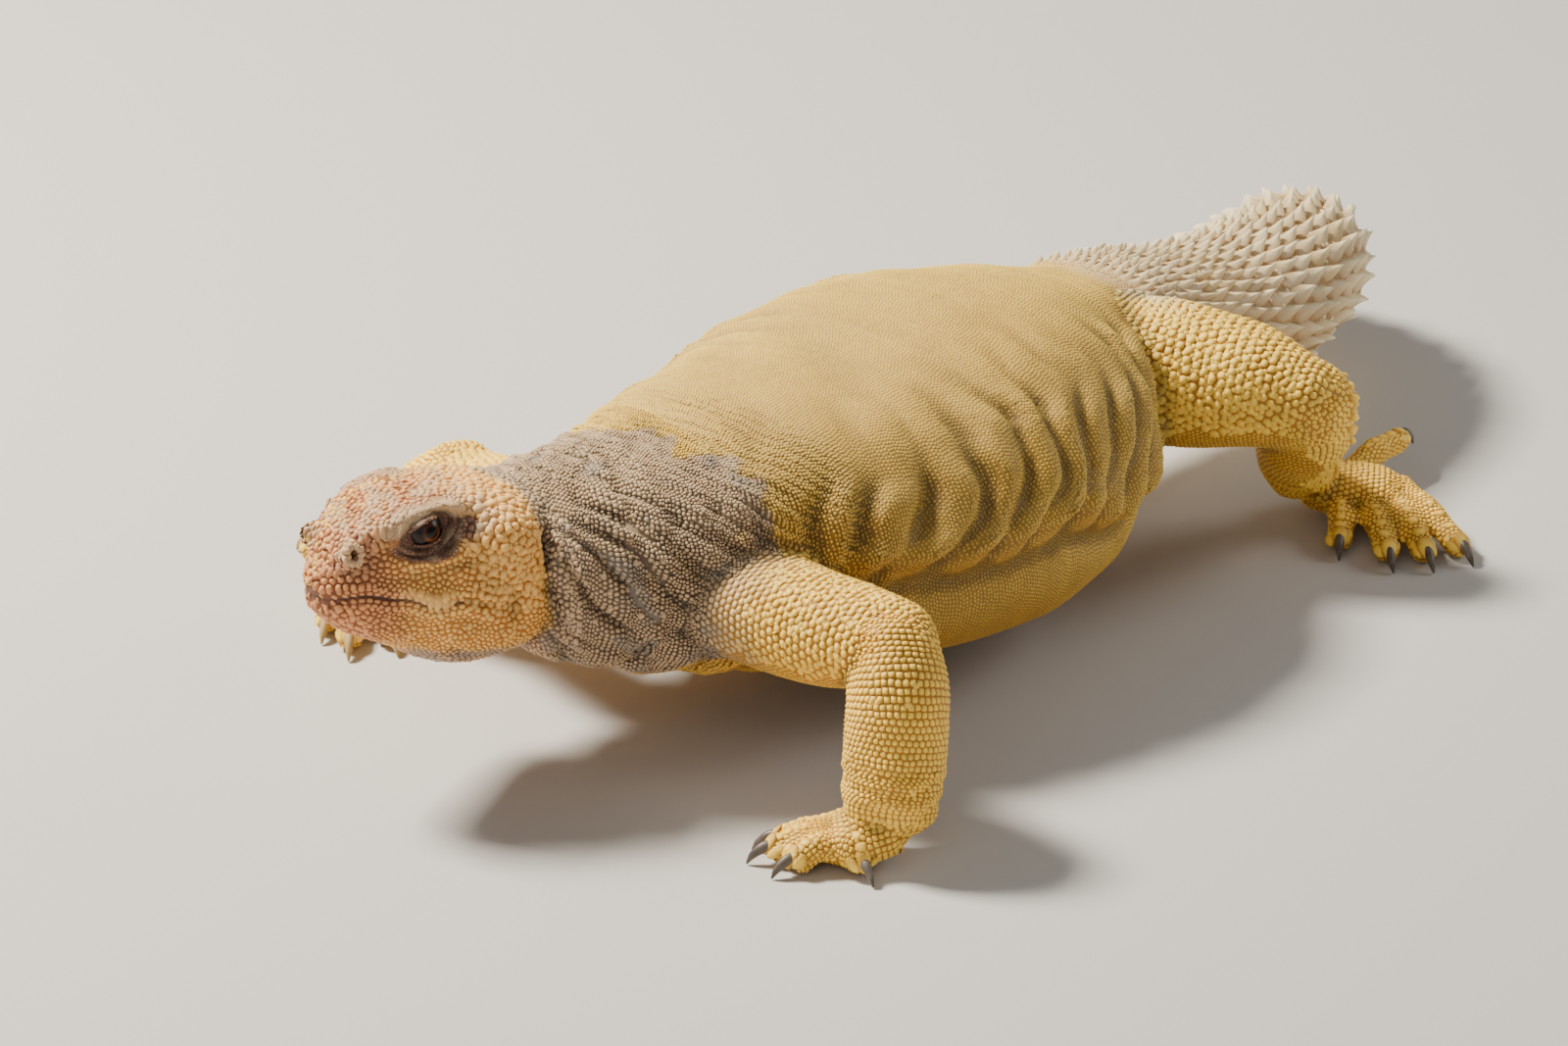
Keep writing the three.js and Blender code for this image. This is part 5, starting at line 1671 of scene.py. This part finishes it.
LABIALS = [  # behind the snout, over the line of the mouth, width, length
    (15.9, 1.0, 2.0, 1.9), (17.9, 0.9, 2.1, 2.1), (19.9, 0.9, 2.2, 2.6), (21.9, 0.7, 2.3, 3.2),
    (23.9, 0.5, 2.5, 3.8), (26.0, 0.4, 2.4, 4.0), (28.0, 0.8, 2.1, 3.0),  # the lower row
    (17.2, 2.7, 1.9, 1.9), (19.4, 2.9, 2.1, 2.0), (21.6, 3.0, 2.2, 2.1), (23.8, 2.9, 2.4, 2.3),
    (26.1, 2.9, 2.3, 2.3), (28.3, 3.0, 2.0, 2.2),
]  # fmt: skip
SNOUT_PLATES = [  # behind the snout, height, width, length
    (11.2, 71.0, 2.4, 3.0), (9.2, 73.8, 1.9, 2.8), (11.4, 74.8, 2.0, 3.2), (13.6, 75.2, 2.1, 3.2),
    (13.4, 71.6, 1.9, 2.6),
]  # fmt: skip
FRINGE = 13  # scales in front of each ear
rng = np.random.default_rng(7)
single = []  # place, direction of the rear end, width, length
for side in (1, -1):
    for back, off, w, h in LABIALS:
        spot = head_point(back, side * 20, mouth_level(np.array(back)) + off)
        single.append((spot, -up_axis + rng.uniform(-0.35, 0.35) * back_axis, w, h))
    for angle in np.radians(np.arange(0, 360, 36)):
        back = NOSTRIL["back"] + 2.1 * math.cos(angle)
        spot = head_point(back, side * (NOSTRIL["out"] + 1.5), NOSTRIL["z"] + 2.7 * math.sin(angle))
        single.append((spot, back_axis * math.cos(angle) + up_axis * math.sin(angle), 1.6, 1.6))
    for turn in (mix(-1.25, 1.1, i / (FRINGE - 1)) for i in range(FRINGE)):
        spot = head_point(52.1 - 1.6 * math.sin(turn) ** 2, side * 23.5, 62.5 + 7.2 * math.sin(turn))
        single.append((spot, back_axis - 0.15 * up_axis, 1.7, 2.4))
    for back, z, w, h in SNOUT_PLATES:
        single.append((head_point(back, side * 13, z), up_axis - 0.1 * back_axis, w, h))
PLATE = dome(10, 4, point=0.6, lift=0.45, square=0.85)
special = placed(*zip(*single))
coat("face_plates", PLATE, special, height=0.36, fit=(0.54, 0.62), seed=86, rough=0.08, sink=0.15, **HEAD)

# %% [markdown]
# ## Scales of the joints
# Rows end at wrists, ankles, armpits and groins, where two tubes meet at an angle. What is still bare
# there is found by its distance to the nearest scale, and is paved with pebbles like those of the head.

# %% Pave what is bare
BARE_FROM, CLEAR_FROM = 1.15, 0.75  # mm to the nearest scale, for a face of the hide and for a new pebble
JOINT_SIZE = 1.45


def to_scales(spots):
    """Distance of each place to the nearest scale laid so far."""
    return np.array([scaled.find(spot)[2] for spot in spots.tolist()])


scaled = tree_of(np.concatenate(covered).tolist())
bare = to_scales(face_middles) > BARE_FROM
bare &= ~open_places & (at_eye > 6) & (face_middles[:, 2] > 0.4)
joints = pebbles(bare, lambda spots: np.full(len(spots), JOINT_SIZE), 91, rounds=3)
joints = pick(joints, to_scales(joints["place"]) > CLEAR_FROM)
joint_limb = smooth(np.abs(joints["place"][:, 0] + 6), 34, 44)
coat("joint_scales", dome(7, 2), joints, scale_finish, 0.3, fit=(0.56, 0.56), limb=joint_limb, seed=92)

# %% [markdown]
# ## Eyes
# The eyeball is a ball with a slightly bulging cornea. It has a round black pupil in a dark red-brown
# iris, with a dark rim and a dull brown white round it; the lower iris has painted light, lighter and more
# orange.
# The colours ride on an attribute, the distance from the eye's axis, and a clear coat makes it wet.

# %% The finish of the eyes
NEARLY_BLACK = (0.002, 0.002, 0.002, 1)
eye_finish = bpy.data.materials.new("wet_eye")
eye_finish.use_nodes = True
tree = eye_finish.node_tree
ramp = tree.nodes.new("ShaderNodeValToRGB")
stops = ramp.color_ramp.elements
stops[0].position, stops[0].color = 0.0, NEARLY_BLACK
stops[1].position, stops[1].color = 1.0, srgb(60, 44, 36)
for position, colour in (
    (0.27, (0.003, 0.002, 0.002, 1)), (0.31, srgb(50, 24, 12)), (0.43, srgb(80, 40, 20)),
    (0.5, srgb(46, 24, 14)), (0.56, srgb(18, 10, 8)), (0.68, srgb(30, 19, 15)),
):  # fmt: skip
    stop = stops.new(position)
    stop.color = colour
tree.links.new(attribute(tree, "ring"), ramp.inputs["Fac"])
# painted light: the lower iris is screened lighter and more orange
iris_with_painted_light = blend(tree, attribute(tree, "lower"), ramp.outputs["Color"], srgb(196, 104, 40), "SCREEN")
paint = tree.nodes["Principled BSDF"].inputs
tree.links.new(iris_with_painted_light, paint["Base Color"])
for socket, value in (
    ("Roughness", 0.25), ("Specular IOR Level", 0.2), ("Coat Weight", 0.22), ("Coat IOR", 1.33),
    ("Coat Roughness", 0.02),
):  # fmt: skip
    paint[socket].default_value = value
print("the iris has", len(stops), "stops from the pupil to the white")

# %% Model both eyes
CORNEA_RADIUS, CORNEA_HEIGHT = 2.9, 0.28
for side, name in ((1, "eye_left"), (-1, "eye_right")):
    outward, backward, upward = eye_frame(side)
    look = unit(outward + 0.02 * backward - 0.02 * upward)
    bm = bmesh.new()
    bmesh.ops.create_uvsphere(bm, u_segments=96, v_segments=64, radius=EYE["radius"] - 0.02)
    points = np.array([v.co[:] for v in bm.verts])
    axis_distance = np.hypot(points[:, 0], points[:, 1])
    front = points[:, 2] > 0
    cornea = CORNEA_HEIGHT * np.clip(1 - (axis_distance / CORNEA_RADIUS) ** 2, 0, 1)
    points[:, 2] += np.where(front, cornea, 0)
    side_axis = unit(np.cross(upward, look))
    turned = points @ np.array([side_axis, np.cross(look, side_axis), look])
    centre = head_point(EYE["back"], side * EYE["out"], EYE["z"])
    for vert, point in zip(bm.verts, (turned + centre + SHIFT) * MM):
        vert.co = point
    bmesh.ops.recalc_face_normals(bm, faces=bm.faces)
    eye = piece(name + "_ball", bm)
    ring = np.where(front, axis_distance / 5, 1).astype(np.float32)
    # painted light on the lower part of the iris
    painted_iris_light = bell(axis_distance, 2.0, 0.42) * smooth(-(turned @ upward), 0.2, 1.5) * front * 0.26
    set_marks(eye.data, {"ring": ring, "lower": painted_iris_light})
    eye.data.materials.append(eye_finish)
    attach(eye, "root")
    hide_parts(name)
    print(name, "has", len(eye.data.polygons), "faces")

# %% [markdown]
# ## Claws
# The claws are dark horn, thick at the root, curved down and worn at the tip. Each is a short tube. The
# right hand, stretched ahead, has trodden in dry sand: its claws are caked pale.

# %% Horn and claws
def horn_finish(name, dark, pale, gloss):
    """Streaky horn. gloss is the roughness at its smoothest."""
    material = bpy.data.materials.new(name)
    material.use_nodes = True
    tree = material.node_tree
    shader = tree.nodes["Principled BSDF"]
    where = tree.nodes.new("ShaderNodeTexCoord").outputs["Object"]
    grain = noise(tree, where, 420, 5)
    streak = figure(tree, "POWER", grain, 1.5)
    tree.links.new(blend(tree, streak, dark, pale), shader.inputs["Base Color"])
    tree.links.new(figure(tree, "MULTIPLY_ADD", grain, 0.3, gloss), shader.inputs["Roughness"])
    shallow_relief(tree, grain, 0.3, 0.0003)
    return material


horn = horn_finish("dark_horn", srgb(58, 50, 44), srgb(138, 124, 106), 0.28)
dusty_horn = horn_finish("dusty_horn", srgb(150, 118, 66), srgb(206, 178, 120), 0.45)
print("claws are finished in", horn.name, "and", dusty_horn.name)


# %% Model the claws
def claw_stations(tip, outward, long):
    """A claw curves down from the toe's tip to the floor. Rows: mm out from the tip, height, sizes."""
    rows = [
        (-2.2, tip[2] + 1.0, 1.55, 1.6, 1.7),
        (0.4, tip[2] + 1.4, 1.5, 1.65, 1.6),
        (0.4 * long, tip[2] + 1.15, 1.35, 1.5, 1.45),
        (0.8 * long, tip[2] - 0.8, 0.85, 1.05, 0.95),
        (long, max(tip[2] - 3.1, 0.6), 0.28, 0.3, 0.3),
    ]
    flat_tip = tip * (1, 1, 0)
    return [(*(flat_tip + outward * out + np.array([0, 0, z])), *sizes) for out, z, *sizes in rows]


claws = 0
for name, leg in LEGS.items():
    end, side = name.split("_")
    foot = {"front": "hand", "hind": "foot"}[end]
    for i, (start, tip) in enumerate(leg["digits"]):
        start, tip = np.array(start, float), np.array(tip, float)
        outward = unit((tip - start) * (1, 1, 0))
        form = tube(claw_stations(tip, outward, CLAW_LENGTH[end]), square=2.0)
        claw = piece(f"claw_{name}_{i + 1}", rolled(form, 22, 20, grow=0.0))
        for vert in claw.data.vertices:
            vert.co.z = max(vert.co.z, 0.0)
        claw.data.materials.append(dusty_horn if name == "front_right" else horn)
        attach(claw, "root")
        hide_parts(f"claw_{foot}_{side}_{i + 1}")
        claws += 1
print(claws, "claws")

# %% [markdown]
# ## The hide's own colours
# The hide gets the same marks as the scales, so that what shows between them is the same animal, only
# darker, partly as painted shade between the scales. How much a point belongs to a leg comes from its
# distance to the legs' centre lines.

# %% Mark the hide
limb_share = np.zeros(len(skin_points))
for name, parts in legs.items():
    for part, form in parts.items():
        ts = np.linspace(0.35 if part == "upper" else 0, 1, 12)
        centres, radii = form.centre(ts), form.size(ts).max(-1)
        near = np.full(len(skin_points), 9.0)
        for centre, radius in zip(centres, radii):
            near = np.minimum(near, np.linalg.norm(skin_points - centre, axis=1) / radius)
        limb_share = np.maximum(limb_share, 1 - smooth(near, 1.05, 1.35))
# the hide gets the same painted shade in creases and painted light on crests
set_marks(skin.data, marks(skin_points, vertex_normals, limb_share) | {"hollow": hollow_shades})
skin.data.materials.append(skin_finish)
flesh = [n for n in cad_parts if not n.startswith(("eye", "claw"))]
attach(skin, "root")
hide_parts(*flesh)
print("the hide takes the place of", len(flesh), "solids")

# %% [markdown]
# ## Floor, light and camera
# A plain pale floor, a strong light high on the left for the sun, a weak broad one from the camera's
# side, another from behind, and a long lens: the picture was taken from far away, a little above the
# animal.

# %% Floor and lights
bm = bmesh.new()
bmesh.ops.create_grid(bm, x_segments=1, y_segments=1, size=6)
floor = piece("floor", bm, False)
ground = bpy.data.materials.new("pale_floor")
ground.use_nodes = True
paint = ground.node_tree.nodes["Principled BSDF"].inputs
paint["Base Color"].default_value = (0.62, 0.59, 0.54, 1)
paint["Roughness"].default_value = 0.9
floor.data.materials.append(ground)


AIM = Vector((0, 0, 0.04))


def softbox(name, at, size, power, colour=(1, 1, 1)):
    """A square light that faces the animal. Sizes in metres, power in watts."""
    light = bpy.data.lights.new(name, "AREA")
    light.size, light.energy, light.color = size, power, colour
    lamp = bpy.data.objects.new(name, light)
    bpy.context.scene.collection.objects.link(lamp)
    lamp.location = at
    lamp.rotation_euler = (AIM - Vector(at)).to_track_quat("-Z", "Y").to_euler()


softbox("key", (-0.75, -0.3, 1.1), 0.3, 47, (1, 0.95, 0.86))
softbox("fill", (0.6, -1.5, 0.8), 1.4, 4.5, (0.94, 0.97, 1))
softbox("rim", (0.9, 1.2, 0.9), 0.8, 8)
world = bpy.data.worlds.new("studio")
bpy.context.scene.world = world
world.use_nodes = True
sky = world.node_tree.nodes["Background"].inputs
sky["Color"].default_value, sky["Strength"].default_value = (0.86, 0.9, 0.95, 1), 0.2
print("three lights over a plain floor")

# %% Camera
AZIMUTH, ELEVATION, DISTANCE = math.radians(38.6), math.radians(25), 2300
right = np.array([math.cos(AZIMUTH), math.sin(AZIMUTH), 0])
target = np.array([74, 0, 92.2]) + SHIFT - 13.3 * right  # puts the animal where the photo has it
away = np.array(
    [
        math.sin(AZIMUTH) * math.cos(ELEVATION),
        -math.cos(AZIMUTH) * math.cos(ELEVATION),
        math.sin(ELEVATION),
    ]
)
lens = bpy.data.cameras.new("camera")
lens.sensor_width, lens.lens = 36, 218.4
camera = bpy.data.objects.new("camera", lens)
bpy.context.scene.collection.objects.link(camera)
camera.location = (target + away * DISTANCE) * MM
camera.rotation_euler = Vector(-away).to_track_quat("-Z", "Y").to_euler()
bpy.context.scene.camera = camera
print("the camera is", DISTANCE * MM, "m away")

# %% Finish
bpy.context.view_layer.update()
